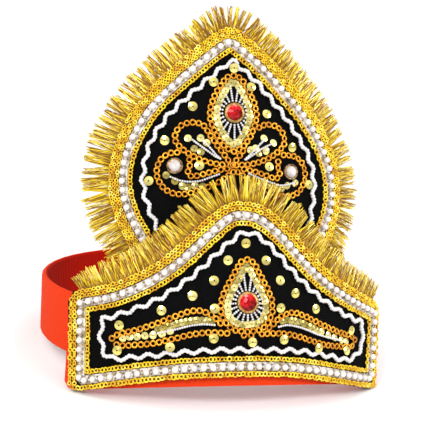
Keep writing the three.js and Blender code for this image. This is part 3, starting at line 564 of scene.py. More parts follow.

# The white satin ribbon that the pearls are sewn along, a flat strip between the lace and the fine chain.
# Soft brown-grey patches spread over it by noise are painted shade.
RIBBON = {"inner": -2.6, "outer": 2.1, "top": 0.42}
TAPE_UNDER = 0.05
SATIN_WHITE = (0.86, 0.84, 0.81)
SATIN_PAINTED_SHADE = (0.36, 0.29, 0.21)
SATIN_SHADE_PATCHES_PER_METRE = 420.0
SATIN_EDGE = (0.4, 0.6)
TAPE_STEP = 2.0


def tape(name, panel, line, closed, sizes, finish, slot):
    """A flat strip along a line, as one closed mesh."""
    left = left_of(line, closed)
    inner, outer, top = sizes["inner"], sizes["outer"], sizes["top"]
    corners = []
    for across, out in ((inner, TAPE_UNDER), (outer, TAPE_UNDER), (outer, top), (inner, top)):
        edge = line + across * left
        corners.append(on_panel(panel, edge[:, 0], edge[:, 1], out))
    points = np.stack(corners, axis=1).reshape(-1, 3)
    count = len(line)
    faces = []
    for step in range(count if closed else count - 1):
        a, b = 4 * step, 4 * ((step + 1) % count)
        faces.extend((a + i, b + i, b + (i + 1) % 4, a + (i + 1) % 4) for i in range(4))
    if not closed:
        last = 4 * (count - 1)
        faces.append((0, 1, 2, 3))
        faces.append((last + 3, last + 2, last + 1, last))
    mesh = bpy.data.meshes.new(name)
    mesh.from_pydata([tuple(p) for p in points], [], faces)
    settle(plain_object(name, mesh, finish), slot)


satin = new_finish("white_satin", SATIN_WHITE, roughness=0.4)
# Painted shade: brown-grey patches mixed into the white satin by noise.
satin_shade_patches = noise_at(satin.node_tree, SATIN_SHADE_PATCHES_PER_METRE, detail=1.0)
two_tones(satin.node_tree, satin_shade_patches, SATIN_PAINTED_SHADE, SATIN_WHITE, *SATIN_EDGE)
tape("front_ribbon", FRONT, evenly(front_loop, TAPE_STEP, True), True, RIBBON, satin, "pearl")
tape("rear_ribbon", REAR, evenly(rear_line, TAPE_STEP), False, RIBBON, satin, "pearl")

# Gold ring lace round the pearls and the fine gold chain inside them: small rings of bright gold wire, sewn
# close together so that each leaves only a dark dot. The lace has a brown-gold tape under it, and the chain
# lies on the velvet.
GOLD_DARK = (0.60, 0.24, 0.004)
GOLD_GLINT = (1.0, 0.82, 0.14)
GOLD_LIGHT = (1.0, 0.72, 0.02)
LACE_ROWS = {
    "front_lace_top": {"offsets": (3.65, 6.35), "ring": 0.98, "wire": 0.46, "pitch": 2.3, "stray": 0.16},
    "front_lace_bottom": {"offsets": (3.9,), "ring": 1.22, "wire": 0.5, "pitch": 2.1, "stray": 0.12},
    "rear_lace": {"offsets": (3.3, 5.35, 7.35), "ring": 0.84, "wire": 0.4, "pitch": 2.15, "stray": 0.18},
    "front_inner_chain": {"offsets": (-4.4,), "ring": 1.16, "wire": 0.46, "pitch": 2.0, "stray": 0.1},
    "rear_inner_chain": {"offsets": (-4.4,), "ring": 1.16, "wire": 0.46, "pitch": 2.0, "stray": 0.1},
}
FRONT_LACE_TAPE = {"inner": 2.3, "outer": 7.6, "top": 0.4}
FOOT_LACE_TAPE = {"inner": 2.3, "outer": 5.2, "top": 0.4}
REAR_LACE_TAPE = {"inner": 2.3, "outer": 8.0, "top": 0.4}
LACE_LOW = np.array([0.0, -1.4])
LACE_PAST = np.array([4.6, 0.6])
LACE_OUT = 0.95
LACE_TIP = math.radians(20)
LACE_TIP_SHARES = (0.3, 1.7)
LACE_TONES = (0.1, 1.0)
LACE_SWELLS = (0.9, 1.1)
LACE_BACK = (0.13, 0.05, 0.004)
GLINT_FROM = 0.8
RING_SIDES = 12
WIRE_SIDES = 6


def ring_shape(tree, given):
    loop = tree.nodes.new("GeometryNodeCurvePrimitiveCircle")
    loop.inputs["Resolution"].default_value = RING_SIDES
    link(tree, given["Ring"], loop.inputs["Radius"])
    wire = tree.nodes.new("GeometryNodeCurvePrimitiveCircle")
    wire.inputs["Resolution"].default_value = WIRE_SIDES
    link(tree, given["Wire"], wire.inputs["Radius"])
    ring = tree.nodes.new("GeometryNodeCurveToMesh")
    link(tree, loop.outputs["Curve"], ring.inputs["Curve"])
    link(tree, wire.outputs["Curve"], ring.inputs["Profile Curve"])
    return ring.outputs["Mesh"]


ring_tree = bead_tree("rings_in_a_row", ["Ring", "Wire"], ring_shape)
gold_wire = toned_finish("gold_wire", GOLD_DARK, GOLD_LIGHT, roughness=0.3, metallic=0.4)
# Painted glint: the palest rings, picked at random, run on to a pale highlight colour.
add_painted_glint(gold_wire, GLINT_FROM, GOLD_GLINT)


def by_turns(count):
    return np.where(np.arange(count) % 2 == 0, 1, -1)


def ring_lace(node, panel, line, closed):
    row = LACE_ROWS[node]
    places, turns = [], []
    for number, offset in enumerate(row["offsets"]):
        spots = evenly(beside(line, offset, closed), row["pitch"], closed, 0.5 * (number % 2))
        spots = spots + chance.normal(0.0, row["stray"], spots.shape)
        tips = LACE_TIP * by_turns(len(spots)) * chance.uniform(*LACE_TIP_SHARES, len(spots))
        row_places, row_turns = seats(panel, spots, LACE_OUT, closed, tips)
        places.extend(row_places)
        turns.extend(row_turns)
    tone = chance.uniform(*LACE_TONES, len(places))
    swell = chance.uniform(*LACE_SWELLS, len(places))
    sizes = {"Ring": MM * row["ring"], "Wire": MM * row["wire"]}
    rings = strung(node + "_rings", ring_tree, sizes, gold_wire, places, turns, swell, tone)
    settle(rings, "gold_trim", node)


right_end = evenly(np.array([FRONT_TOP[-1], FRONT_FOOT[0] + LACE_LOW]), LINE_STEP)
left_end = evenly(np.array([FRONT_FOOT[-1] + LACE_LOW, FRONT_TOP[0]]), LINE_STEP)
front_edge = np.vstack([left_end[:-1], front_top, right_end[1:]])
ring_lace("front_lace_top", FRONT, front_edge, False)
lower_edge = np.vstack([[FRONT_FOOT[0] + LACE_PAST], front_foot, [FRONT_FOOT[-1] - LACE_PAST * [1, -1]]])
ring_lace("front_lace_bottom", FRONT, evenly(lower_edge, LINE_STEP), False)
ring_lace("rear_lace", REAR, rear_line, False)
lace_back = new_finish("lace_back", LACE_BACK, roughness=0.7)
tape("front_lace_tape", FRONT, evenly(front_edge, TAPE_STEP), False, FRONT_LACE_TAPE, lace_back, "gold_trim")
tape("front_foot_tape", FRONT, evenly(front_foot, TAPE_STEP), False, FOOT_LACE_TAPE, lace_back, "gold_trim")
tape("rear_lace_tape", REAR, evenly(rear_line, TAPE_STEP), False, REAR_LACE_TAPE, lace_back, "gold_trim")
ring_lace("front_inner_chain", FRONT, front_loop, True)
ring_lace("rear_inner_chain", REAR, rear_line, False)

# The wavy strings: cord of white glass beads, so close that it looks like one line, sewn down on the velvet
# in small even waves.
FRONT_WAVE = [(-79.9, -41.1), (-70.7, -38.7), (-58.5, -34.5), (-46.5, -28.8), (-35.5, -21.6),
              (-25.2, -13.1), (-16.8, -5.1), (-9.8, 1.1), (-5.2, 4.6), (-1, 5.8), (4.9, 4.4), (10.4, 0.5),
              (17.4, -5.8), (23.9, -12.8), (32.1, -20.3), (41, -27.1), (50.6, -32.8), (62.6, -38.6),
              (74, -42.3), (80.5, -44.2), (80.8, -50), (80.4, -56), (76.5, -61), (70.1, -64.2), (65, -65),
              (59, -64.2), (51, -62.5), (41, -60.9), (31, -59.5), (16.8, -58.7), (0.6, -58.4),
              (-15.6, -58.4), (-31.7, -59.2), (-45.9, -60.5), (-58, -61.5), (-68, -62.6), (-74.1, -62.7),
              (-79, -60.2), (-81.2, -54), (-81.4, -47)]
REAR_WAVE = [(-43.6, 8.3), (-46.7, 15.9), (-49.2, 22.2), (-50.8, 28.1), (-51.6, 33.5), (-51.5, 38.9),
             (-50.7, 44.9), (-49.3, 51.3), (-46.8, 57.6), (-43.4, 63.6), (-37.9, 71), (-31.3, 77.9),
             (-24, 84.5), (-16.5, 91.1), (-9, 97.4), (-4.3, 101), (-0.4, 102), (2.4, 99), (11.5, 91.9),
             (18.1, 84.7), (25.1, 77.4), (31.4, 70.3), (36.7, 63.4), (41.9, 56.8), (45.8, 50), (48.5, 43.1),
             (49.4, 36.2), (49.3, 31.6), (48.7, 26), (47.5, 19.8), (46, 12.4), (43.8, 6.6)]
WAVE = {"swing": 1.05, "period": 9.8, "point": 0.65}
WAVE_BEAD_RADIUS = 1.3
WAVE_BEAD_PITCH = 1.75
WAVE_BEAD_TONES = (0.3, 1.0)
WAVE_BEAD_SWELLS = (0.93, 1.0)
WAVE_STEP = 0.3
CORD_LIFT = 0.3
BEAD_SHADE = (0.60, 0.58, 0.58)
BEAD_WHITE = (0.82, 0.80, 0.80)
bead_white = toned_finish("white_glass_bead", BEAD_SHADE, BEAD_WHITE, roughness=0.35)


def waves(line, closed):
    path = evenly(line, WAVE_STEP, closed)
    length = np.linalg.norm(np.diff(path, axis=0), axis=1).sum()
    count = round(length / WAVE["period"])
    phase = np.linspace(0, 2 * math.pi * count, len(path), endpoint=not closed)
    zigzag = np.arcsin(WAVE["point"] * np.cos(phase)) / math.asin(WAVE["point"])
    return path + (WAVE["swing"] * zigzag)[:, None] * left_of(path, closed)


def bead_cord(name, panel, line, closed, node):
    spots = evenly(waves(line, closed), WAVE_BEAD_PITCH, closed)
    tone = chance.uniform(*WAVE_BEAD_TONES, len(spots))
    swell = chance.uniform(*WAVE_BEAD_SWELLS, len(spots))
    seated = seats(panel, spots, CORD_LIFT + WAVE_BEAD_RADIUS, closed)
    settle(balls(name, WAVE_BEAD_RADIUS, bead_white, seated, tone, swell), "pearl", node)


front_wave = smooth_line(FRONT_WAVE + FRONT_WAVE[:1], count=500)[:-1]
bead_cord("front_bead_cord", FRONT, front_wave, True, "front_zigzag")
bead_cord("rear_bead_cord", REAR, smooth_line(REAR_WAVE, count=400), False, "rear_zigzag")

# The ornaments: chain of linked orange-gold rings, sewn flat on the velvet. On the front panel a teardrop and
# two leaves, on the rear panel a pointed oval over four petals with two inner leaves.
CHAIN_DARK = (0.42, 0.13, 0.006)
CHAIN_LIGHT = (0.90, 0.42, 0.03)
CHAIN_RING = 1.46
CHAIN_WIRE = 0.58
CHAIN_PITCH = 3.35
CHAIN_APART = 2.3
CHAIN_OUT = 0.95
CHAIN_TIP = math.radians(14)
CHAIN_LIFTS = (-0.1, 0.2)
CHAIN_TONES = (0.3, 1.0)
TEARDROP = [(0, -9), (3.4, -10.4), (5.7, -13.9), (7.8, -17.8), (10.1, -21.7), (12.1, -25.5), (13.8, -29.3),
            (14.6, -33), (14.8, -37.2), (13.4, -41.3), (11.2, -44.5), (7.6, -47.4), (0, -48.6)]
LEAF_UPPER = [(12.5, -45.9), (16.2, -42.8), (18.9, -39.9), (22.6, -38.1), (26.4, -36.9), (31.2, -37.2),
              (39.7, -40), (49.2, -43.6), (61.6, -47.5), (70.6, -49.4), (74.6, -51.8)]
LEAF_LOWER = [(-2, -50.4), (12.5, -49.2), (21.7, -48.8), (31.2, -49.9), (40.7, -52.2), (51.3, -54.5),
              (62.1, -55.4), (70, -55.7), (75, -54)]
OVAL = [(0, 94.3), (3.6, 93.3), (6.2, 90.3), (9, 86), (11.4, 81), (13, 76), (13.4, 72), (12.8, 68),
        (11.4, 64.2), (9.4, 60), (7.2, 56.6), (4.2, 53.6), (0, 51.6)]
UPPER_PETAL = [(-1, 43.6), (10.3, 44.7), (16.7, 46.4), (23.1, 49.4), (28.3, 53.2), (31.6, 57.5),
               (31.3, 61.8), (28.5, 65.6), (23.8, 67.4), (19.4, 67.3), (15.8, 65.7), (12.6, 61),
               (9.5, 56.4), (6.4, 52.2), (3.4, 48.2), (0.4, 44)]
LOWER_PETAL = [(25.8, 51.1), (30.2, 50.7), (35.4, 50.6), (39.8, 48.5), (42.6, 45.2), (43.7, 41.4),
               (43.6, 37.6), (41.9, 33.7), (39.2, 30.4), (35, 28.1), (30.4, 27.4), (25.6, 28), (20.8, 29.5),
               (12, 32.9), (5.2, 37.2), (-1.5, 42)]
INNER_LEAF = [(-2, 42.6), (6.9, 41.5), (13.7, 39.9), (20.5, 38), (24, 37.3), (26.6, 38.7), (26.2, 41.3),
              (25.4, 44.2), (25.8, 47.2), (27, 50)]
TEARDROP_HAND = {"shift": -0.7, "sag": 0.0}
LEAF_HAND = {"shift": -0.6, "sag": 2.0}
OVAL_HAND = {"shift": -1.2, "sag": 0.0}
UPPER_HAND = {"shift": -2.2, "sag": 0.0}
LOWER_HAND = {"shift": -0.3, "sag": 0.0}
SAG_AT = 45.0


def sewn(line, hand):
    """A line as it was sewn: moved a little sideways, with its right-hand half hanging lower."""
    part = np.clip(line[:, 0] / SAG_AT, 0, 1)
    drop = hand["sag"] * part * part * (3 - 2 * part)
    return np.stack([line[:, 0] + hand["shift"], line[:, 1] - drop], axis=-1)


chain_gold = toned_finish("orange_gold_chain", CHAIN_DARK, CHAIN_LIGHT, roughness=0.25, metallic=0.75)


def clear_of(taken, spot):
    return not len(taken) or np.linalg.norm(taken - spot, axis=1).min() > CHAIN_APART


def ring_chain(node, panel, lines):
    places, turns, taken = [], [], np.empty((0, 2))
    for points, closed, hand in lines:
        half = smooth_line(points)
        runs = [both_halves(half)[:-1]] if closed else [half, half * [-1, 1]]
        for run in runs:
            spots = sewn(evenly(run, CHAIN_PITCH, closed), hand)
            ahead = directions(spots, closed)
            free = [clear_of(taken, spot) for spot in spots]
            spots, ahead = spots[free], ahead[free]
            taken = np.vstack([taken, spots])
            tips = CHAIN_TIP * by_turns(len(spots))
            lift = CHAIN_OUT + chance.uniform(*CHAIN_LIFTS, len(spots))
            run_places, run_turns = seats(panel, spots, lift, False, tips, ahead)
            places.extend(run_places)
            turns.extend(run_turns)
    tone = chance.uniform(*CHAIN_TONES, len(places))
    sizes = {"Ring": MM * CHAIN_RING, "Wire": MM * CHAIN_WIRE}
    rings = strung(node + "_rings", ring_tree, sizes, chain_gold, places, turns, 1.0, tone)
    settle(rings, "ring_chain", node)


front_lines = [(TEARDROP, True, TEARDROP_HAND), (LEAF_UPPER, False, LEAF_HAND)]
front_lines += [(LEAF_LOWER, False, LEAF_HAND)]
ring_chain("front_ornament", FRONT, front_lines)
rear_lines = [(OVAL, True, OVAL_HAND), (UPPER_PETAL, False, UPPER_HAND)]
rear_lines += [(LOWER_PETAL, False, LOWER_HAND), (INNER_LEAF, False, LOWER_HAND)]
ring_chain("rear_ornament", REAR, rear_lines)

# Sequins: thin cupped discs of pale gold film with a hole in the middle. Single ones are scattered on the
# velvet, and smaller ones overlap in rows and rings inside the ornaments.
SEQUIN = {"Radius": 0.00265, "Hole": 0.0004, "Film": 0.00022}
SMALL_SEQUIN = {"Radius": 0.0021, "Hole": 0.0003, "Film": 0.0002}
SEQUIN_CUP = math.radians(13)
SEQUIN_SIDES = 18
SEQUIN_OLIVE = (0.25, 0.18, 0.008)
SEQUIN_PALE = (1.0, 0.87, 0.34)
SINGLE_OLIVE = (0.42, 0.32, 0.02)
SINGLE_PALE = (1.0, 0.86, 0.28)
SINGLE_TIPS = (-0.2, 0.2)
SINGLE_TONES = (0.5, 1.0)
OLIVE_TONES = (0.1, 0.5)
MIXED_TONES = (0.2, 1.0)
PALE_TONES = (0.8, 1.0)
ROW_OUT = 0.75
ROW_LAYERS = 3
ROW_LAYER = 0.12
ROW_TIPS = (-0.3, 0.3)
RING_INSET = -3.8
RING_PITCH = 2.9
OLIVE_PITCH = 2.7
LEAF_PALE_LEFT = [(-69.2, -51.8), (-65.2, -50.9), (-61.1, -50.9), (-56.8, -50.4), (-52.3, -50.1),
                  (-47.4, -49.5), (-43, -47.9)]
LEAF_PALE_RIGHT = [(66.5, -54.6), (62.3, -53.7), (56.5, -52.2), (51.8, -50.8), (46.6, -49), (41.5, -47.6)]
LEAF_OLIVE_LEFT = [(-49.5, -46.8), (-45.8, -45.7), (-42, -44.9), (-37.6, -43.6), (-33.3, -42.8),
                   (-29, -42.2), (-24.7, -42.3), (-20.5, -42.5)]
LEAF_OLIVE_RIGHT = [(20.4, -42.7), (24.8, -42.5), (29.3, -43.1), (34, -44.5), (38.7, -46.2), (43.7, -47.9)]
LOWER_LEFT = [(-38.9, 38.2), (-34, 34.8), (-29.9, 32), (-26.9, 31.5), (-23, 32.2), (-18.6, 32)]
LOWER_RIGHT = [(36.8, 35.2), (31.3, 33.5), (27.7, 32), (23.2, 32.1), (18.9, 33.4)]
UPPER_PALE_LEFT = [(-26.8, 58.8), (-19.8, 58.9), (-16.4, 56.3)]
UPPER_PALE_RIGHT = [(16.8, 59.8), (22.6, 57.5), (17.9, 52.5), (11.8, 54.0), (8.6, 52.8)]
UPPER_OLIVE_LEFT = [(-23.3, 52.8), (-19.6, 51.2)]
UPPER_OLIVE_RIGHT = [(13.4, 51.2)]


def sequin_shape(tree, given):
    def worked(operation, first, second):
        node = tree.nodes.new("ShaderNodeMath")
        node.operation = operation
        link(tree, first, node.inputs[0])
        if isinstance(second, float):
            node.inputs[1].default_value = second
        else:
            link(tree, second, node.inputs[1])
        return node.outputs["Value"]

    middle = worked("MULTIPLY", worked("ADD", given["Radius"], given["Hole"]), 0.5)
    loop = tree.nodes.new("GeometryNodeCurvePrimitiveCircle")
    loop.inputs["Resolution"].default_value = SEQUIN_SIDES
    link(tree, middle, loop.inputs["Radius"])
    cup = tree.nodes.new("GeometryNodeSetCurveTilt")
    cup.inputs["Tilt"].default_value = SEQUIN_CUP
    link(tree, loop.outputs["Curve"], cup.inputs["Curve"])
    film = tree.nodes.new("GeometryNodeCurvePrimitiveQuadrilateral")
    link(tree, worked("SUBTRACT", given["Radius"], given["Hole"]), film.inputs["Width"])
    link(tree, given["Film"], film.inputs["Height"])
    disc = tree.nodes.new("GeometryNodeCurveToMesh")
    link(tree, cup.outputs["Curve"], disc.inputs["Curve"])
    link(tree, film.outputs["Curve"], disc.inputs["Profile Curve"])
    return disc.outputs["Mesh"]


sequin_tree = bead_tree("cupped_sequins", ["Radius", "Hole", "Film"], sequin_shape, False)
sequin_film = toned_finish("sequin_film", SEQUIN_OLIVE, SEQUIN_PALE, roughness=0.2, metallic=0.75)
single_film = toned_finish("single_sequin_film", SINGLE_OLIVE, SINGLE_PALE, roughness=0.18, metallic=0.85)


def flat_place(panel, point):
    """The s, z and n on a panel of a point of the crown."""
    x, deep, high = MM_PER_METRE * (np.array(point) - panel_zero)
    z = deep * math.sin(LEAN) + high * math.cos(LEAN)
    y = deep * math.cos(LEAN) - high * math.sin(LEAN)
    middle = panel["back"] + panel["radius"]
    angle = math.atan2(x, middle - y)
    return angle * panel["radius"] - panel["shift"], z, math.hypot(x, middle - y) - panel["radius"]


def level(count):
    """Headings that all run along the panel."""
    return np.tile([1.0, 0.0], (count, 1))


def single_sequins(name, panel, prefix, count):
    nodes = [f"{prefix}_{i:02d}" for i in range(count)]
    spots = np.array([flat_place(panel, middle_of(node)) for node in nodes])
    tips = chance.uniform(*SINGLE_TIPS, count)
    places, turns = seats(panel, spots[:, :2], spots[:, 2], False, tips, level(count))
    tone = chance.uniform(*SINGLE_TONES, count)
    settle(strung(name, sequin_tree, SEQUIN, single_film, places, turns, 1.0, tone), "sequin", *nodes)


def sequin_row(name, panel, rows, tones, *nodes):
    places, turns, tone = [], [], []
    for row, (low, high) in zip(rows, tones):
        spots = np.array(row, float)
        lift = ROW_OUT + ROW_LAYER * (np.arange(len(spots)) % ROW_LAYERS)
        tips = chance.uniform(*ROW_TIPS, len(spots))
        row_places, row_turns = seats(panel, spots, lift, False, tips, level(len(spots)))
        places.extend(row_places)
        turns.extend(row_turns)
        tone.extend(chance.uniform(low, high, len(spots)))
    sequins = strung(name, sequin_tree, SMALL_SEQUIN, sequin_film, places, turns, 1.0, tone)
    settle(sequins, "sequin", *nodes)


def ring_of(points, hand):
    return sewn(beside(both_halves(smooth_line(points))[:-1], RING_INSET, True), hand)


single_sequins("front_sequins", FRONT, "front_sequin", count=20)
single_sequins("rear_sequins", REAR, "rear_sequin", count=11)
teardrop_ring = ring_of(TEARDROP, TEARDROP_HAND)
oval_ring = ring_of(OVAL, OVAL_HAND)
round_teardrop = [evenly(teardrop_ring, RING_PITCH, True)]
sequin_row("teardrop_sequins", FRONT, round_teardrop, [MIXED_TONES], "front_teardrop_sequins")
round_oval = [evenly(oval_ring, RING_PITCH, True)]
sequin_row("oval_sequins", REAR, round_oval, [MIXED_TONES], "rear_oval_sequins")
leaf_tones = [OLIVE_TONES, PALE_TONES]
left_leaf = [evenly(smooth_line(LEAF_OLIVE_LEFT), OLIVE_PITCH), LEAF_PALE_LEFT]
sequin_row("leaf_sequins_left", FRONT, left_leaf, leaf_tones, "front_leaf_sequins_left")
right_leaf = [evenly(smooth_line(LEAF_OLIVE_RIGHT), OLIVE_PITCH), LEAF_PALE_RIGHT]
sequin_row("leaf_sequins_right", FRONT, right_leaf, leaf_tones, "front_leaf_sequins_right")
sequin_row("lower_sequins_left", REAR, [LOWER_LEFT], [OLIVE_TONES], "rear_lower_sequins_left")
sequin_row("lower_sequins_right", REAR, [LOWER_RIGHT], [MIXED_TONES], "rear_lower_sequins_right")
upper_rows = [UPPER_PALE_LEFT, UPPER_PALE_RIGHT, UPPER_OLIVE_LEFT, UPPER_OLIVE_RIGHT]
sequin_row("upper_sequins", REAR, upper_rows, [PALE_TONES, PALE_TONES, OLIVE_TONES, OLIVE_TONES])

# Seed beads: short strings of small white glass beads, lying along the leaves and petals and set like spokes
# between each red stone and its ring of sequins.
SEED_RADIUS = 0.66
SEED_PITCH = 1.36
SEED_TONES = (0.4, 1.0)
SEED_SWELLS = (0.88, 1.05)
SPOKE_COUNT = 21
SPOKE_START = 6.9
SPOKE_END_GAP = 1.3
SPOKE_OUT = 0.8
STRING_OUT = 1.75
FRONT_STONE = (-0.3, -32.5)
REAR_STONE = (-0.7, 73.4)
LEAF_STRINGS = [
    [(-49.4, -49.1), (-44.8, -48), (-39.4, -46.9), (-34.5, -45.6), (-30.5, -44.8), (-25.1, -44.3),
     (-19.1, -44.7)],
    [(17.5, -45.9), (22.7, -45), (29.1, -45.9), (35.8, -47.8), (42.7, -50.2), (49.5, -51.9), (59, -53.7)],
]
PETAL_STRINGS = [
    [(-24.3, 57.7), (-20.2, 54.6), (-15.2, 51), (-11.3, 48.3), (-9.1, 47.3)],
    [(-18.5, 57.1), (-14.6, 53.3), (-11.3, 49.4), (-9.1, 47.5)],
    [(16, 58.1), (12.3, 54.5), (8.7, 50.7), (5.2, 47.3)],
    [(20.9, 56.6), (15.3, 53.8), (10.5, 50.5), (5.8, 47.3)],
    [(-36.4, 37.1), (-31.2, 35), (-25.2, 34.3), (-20.2, 34.8), (-15.4, 36.5), (-9.8, 38.6)],
    [(35.5, 35.2), (26.4, 33.3), (20.7, 34.6), (14, 36.7), (7.3, 39.3)],
]


def spokes(stone, ring):
    around = ring - np.array(stone)
    angles = np.arctan2(around[:, 1], around[:, 0])
    order = np.argsort(angles)
    reaches = np.linalg.norm(around, axis=1)
    out = []
    for turn in np.linspace(-math.pi, math.pi, SPOKE_COUNT, endpoint=False) + math.pi / 2:
        wrapped = math.atan2(math.sin(turn), math.cos(turn))
        end = np.interp(wrapped, angles[order], reaches[order], period=2 * math.pi) - SPOKE_END_GAP
        ray = np.array([math.cos(turn), math.sin(turn)])
        steps = np.arange(SPOKE_START, max(end, SPOKE_START + SEED_PITCH), SEED_PITCH)
        out.extend(np.array(stone) + step * ray for step in steps)
    return np.array(out)


def seed_beads(name, panel, spots, out):
    tone = chance.uniform(*SEED_TONES, len(spots))
    swell = chance.uniform(*SEED_SWELLS, len(spots))
    seated = seats(panel, spots, out, heading=level(len(spots)))
    settle(balls(name, SEED_RADIUS, bead_white, seated, tone, swell), "pearl")


seed_beads("front_spokes", FRONT, spokes(FRONT_STONE, teardrop_ring), SPOKE_OUT)
seed_beads("rear_spokes", REAR, spokes(REAR_STONE, oval_ring), SPOKE_OUT)
leaf_beads = np.vstack([evenly(smooth_line(row), SEED_PITCH) for row in LEAF_STRINGS])
seed_beads("leaf_strings", FRONT, leaf_beads, STRING_OUT)
petal_beads = np.vstack([evenly(smooth_line(row), SEED_PITCH) for row in PETAL_STRINGS])
seed_beads("petal_strings", REAR, petal_beads, STRING_OUT)

# The red stones and the pearl cabochons, sewn to the velvet. The stones are cut, in gold settings, the
# cabochons smooth white domes in bronze ones, and each setting has a beaded rim.
# The red stones carry painted light: their cut faces run from painted shade to a pink painted glint, lighter
# towards the upper left.
STONE_RED = (0.72, 0.006, 0.012)
STONE_PAINTED_SHADE = (0.10, 0.0, 0.001)
STONE_PAINTED_GLINT = (0.95, 0.30, 0.32)
STONE_GLINT_FROM = 0.85
FACET_PAINTED_LIGHT = {"middle": 0.38, "slope": 0.4, "stray": 0.35}
CABOCHON_WHITE = (0.90, 0.87, 0.87)
CABOCHON_DARK = (0.52, 0.47, 0.46)
CABOCHON_LIGHT = (0.70, 0.66, 0.64)
CABOCHON_MOTTLE_PER_METRE = 300.0
SETTING_GRAIN_PER_METRE = 900.0
DOME = {"rings": 10, "sides": 36}
CUT_STONE = {"rings": 4, "sides": 14}
DOME_FOOT = 1.4
DOME_RISE = 0.3
STONE_LIFT = 0.3
CUP_SIDES = 36
CUP = {"lip": 0.35, "grip": 0.1, "thick": 0.4}
CUP_HEIGHTS = {"wall": 0.9, "edge": 1.3, "brim": 1.5, "inner": 1.2, "floor": 1.0}
RIM_BEADS = 26
RIM_BEAD_RADIUS = 0.58
RIM_OUT = 1.55
CABOCHON = {"radius": 3.2, "rim": 4.05, "high": 2.4}
STONES = [
    {"node": "front_stone", "panel": FRONT, "place": FRONT_STONE, "radius": 4.9, "rim": 5.55, "high": 3.0},
    {"node": "rear_stone", "panel": REAR, "place": REAR_STONE, "radius": 4.6, "rim": 5.25, "high": 3.0},
    {"node": "rear_pearl_right", "panel": REAR, "place": (33.4, 41.4), **CABOCHON},
    {"node": "rear_pearl_left", "panel": REAR, "place": (-34.1, 43.3), **CABOCHON},
]
red_stone = toned_finish("red_stone", STONE_PAINTED_SHADE, STONE_RED, roughness=0.04)
shader_of(red_stone).inputs["Specular IOR Level"].default_value = 0.2
# Painted glint: the lightest cut faces turn pink.
add_painted_glint(red_stone, STONE_GLINT_FROM, STONE_PAINTED_GLINT)
cabochon_white = new_finish("cabochon_white", CABOCHON_WHITE, roughness=0.18)
cabochon_mottle = noise_at(cabochon_white.node_tree, CABOCHON_MOTTLE_PER_METRE, detail=1.0)
two_tones(cabochon_white.node_tree, cabochon_mottle, CABOCHON_DARK, CABOCHON_LIGHT)


def turned_mesh(name, profile, sides):
    """A closed solid turned about Z from a profile that starts and ends on the axis."""
    points = [(0.0, 0.0, profile[0][1])]
    for radius, height in profile[1:-1]:
        for i in range(sides):
            angle = 2 * math.pi * i / sides
            points.append((radius * math.cos(angle), radius * math.sin(angle), height))
    points.append((0.0, 0.0, profile[-1][1]))
    top = len(points) - 1
    rings = len(profile) - 2
    faces = []
    for i in range(sides):
        j = (i + 1) % sides
        faces.append((0, 1 + j, 1 + i))
        for ring in range(rings - 1):
            low = 1 + ring * sides
            faces.append((low + i, low + j, low + sides + j, low + sides + i))
        last = 1 + (rings - 1) * sides
        faces.append((last + i, last + j, top))
    mesh = bpy.data.meshes.new(name)
    mesh.from_pydata([tuple(MM * c for c in p) for p in points], [], faces)
    return mesh


def paint_facet_light(mesh, radius):
    """Painted light on a stone: each cut face has its own depth of red, lightest towards the upper left, with
    a random share.
    """
    tones = []
    for face in mesh.polygons:
        lit = MM_PER_METRE * (face.center.y - face.center.x) / radius
        stray = chance.uniform(-FACET_PAINTED_LIGHT["stray"], FACET_PAINTED_LIGHT["stray"])
        tones.append(np.clip(FACET_PAINTED_LIGHT["middle"] + FACET_PAINTED_LIGHT["slope"] * lit + stray, 0.0, 1.0))
    tone = mesh.attributes.new("tone", "FLOAT", "FACE")
    tone.data.foreach_set("value", np.array(tones, np.float32))


def set_stone(stone, finish, slot, cut, metal):
    name, panel = stone["node"], stone["panel"]
    radius, rim, high = stone["radius"], stone["rim"], stone["high"]
    spot = np.array([stone["place"]])
    places, turns = seats(panel, spot, STONE_LIFT, heading=level(1))
    stand = Matrix.Translation(places[0]) @ turns[0].to_matrix().to_4x4()
    floor = CUP_HEIGHTS["floor"]
    profile = [(0, floor), (radius, floor)]
    for i in range(cut["rings"]):
        angle = math.pi / 2 * i / cut["rings"]
        profile.append((radius * math.cos(angle), DOME_FOOT + (high + DOME_RISE) * math.sin(angle)))
    profile.append((0, DOME_FOOT + DOME_RISE + high))
    dome_mesh = turned_mesh(name + "_dome", profile, cut["sides"])
    if cut is DOME:
        dome_mesh.shade_smooth()
    else:
        paint_facet_light(dome_mesh, radius)
    dome_mesh.transform(stand)
    settle(plain_object(name + "_dome", dome_mesh, finish), slot, name)
    outside = rim + CUP["lip"]
    cup_profile = [(0, 0), (outside, 0), (outside, CUP_HEIGHTS["wall"]), (rim, CUP_HEIGHTS["edge"])]
    cup_profile.append((radius - CUP["grip"], CUP_HEIGHTS["brim"]))
    cup_profile.append((radius - CUP["thick"], CUP_HEIGHTS["inner"]))
    cup_profile.append((0, floor))
    cup_mesh = turned_mesh(name + "_setting", cup_profile, CUP_SIDES)
    cup_mesh.transform(stand)
    settle(plain_object(name + "_setting", cup_mesh, metal), "gold_trim")
    turn = np.linspace(0, 2 * math.pi, RIM_BEADS, endpoint=False)
    ring = spot + rim * np.stack([np.cos(turn), np.sin(turn)], axis=-1)
    beads = balls(name + "_rim", RIM_BEAD_RADIUS, metal, seats(panel, ring, RIM_OUT, True))
    settle(beads, "gold_trim")


def setting_finish(name, dark, light):
    finish = new_finish(name, light, roughness=0.3, metallic=0.8)
    two_tones(finish.node_tree, noise_at(finish.node_tree, SETTING_GRAIN_PER_METRE, detail=1.0), dark, light)
    return finish


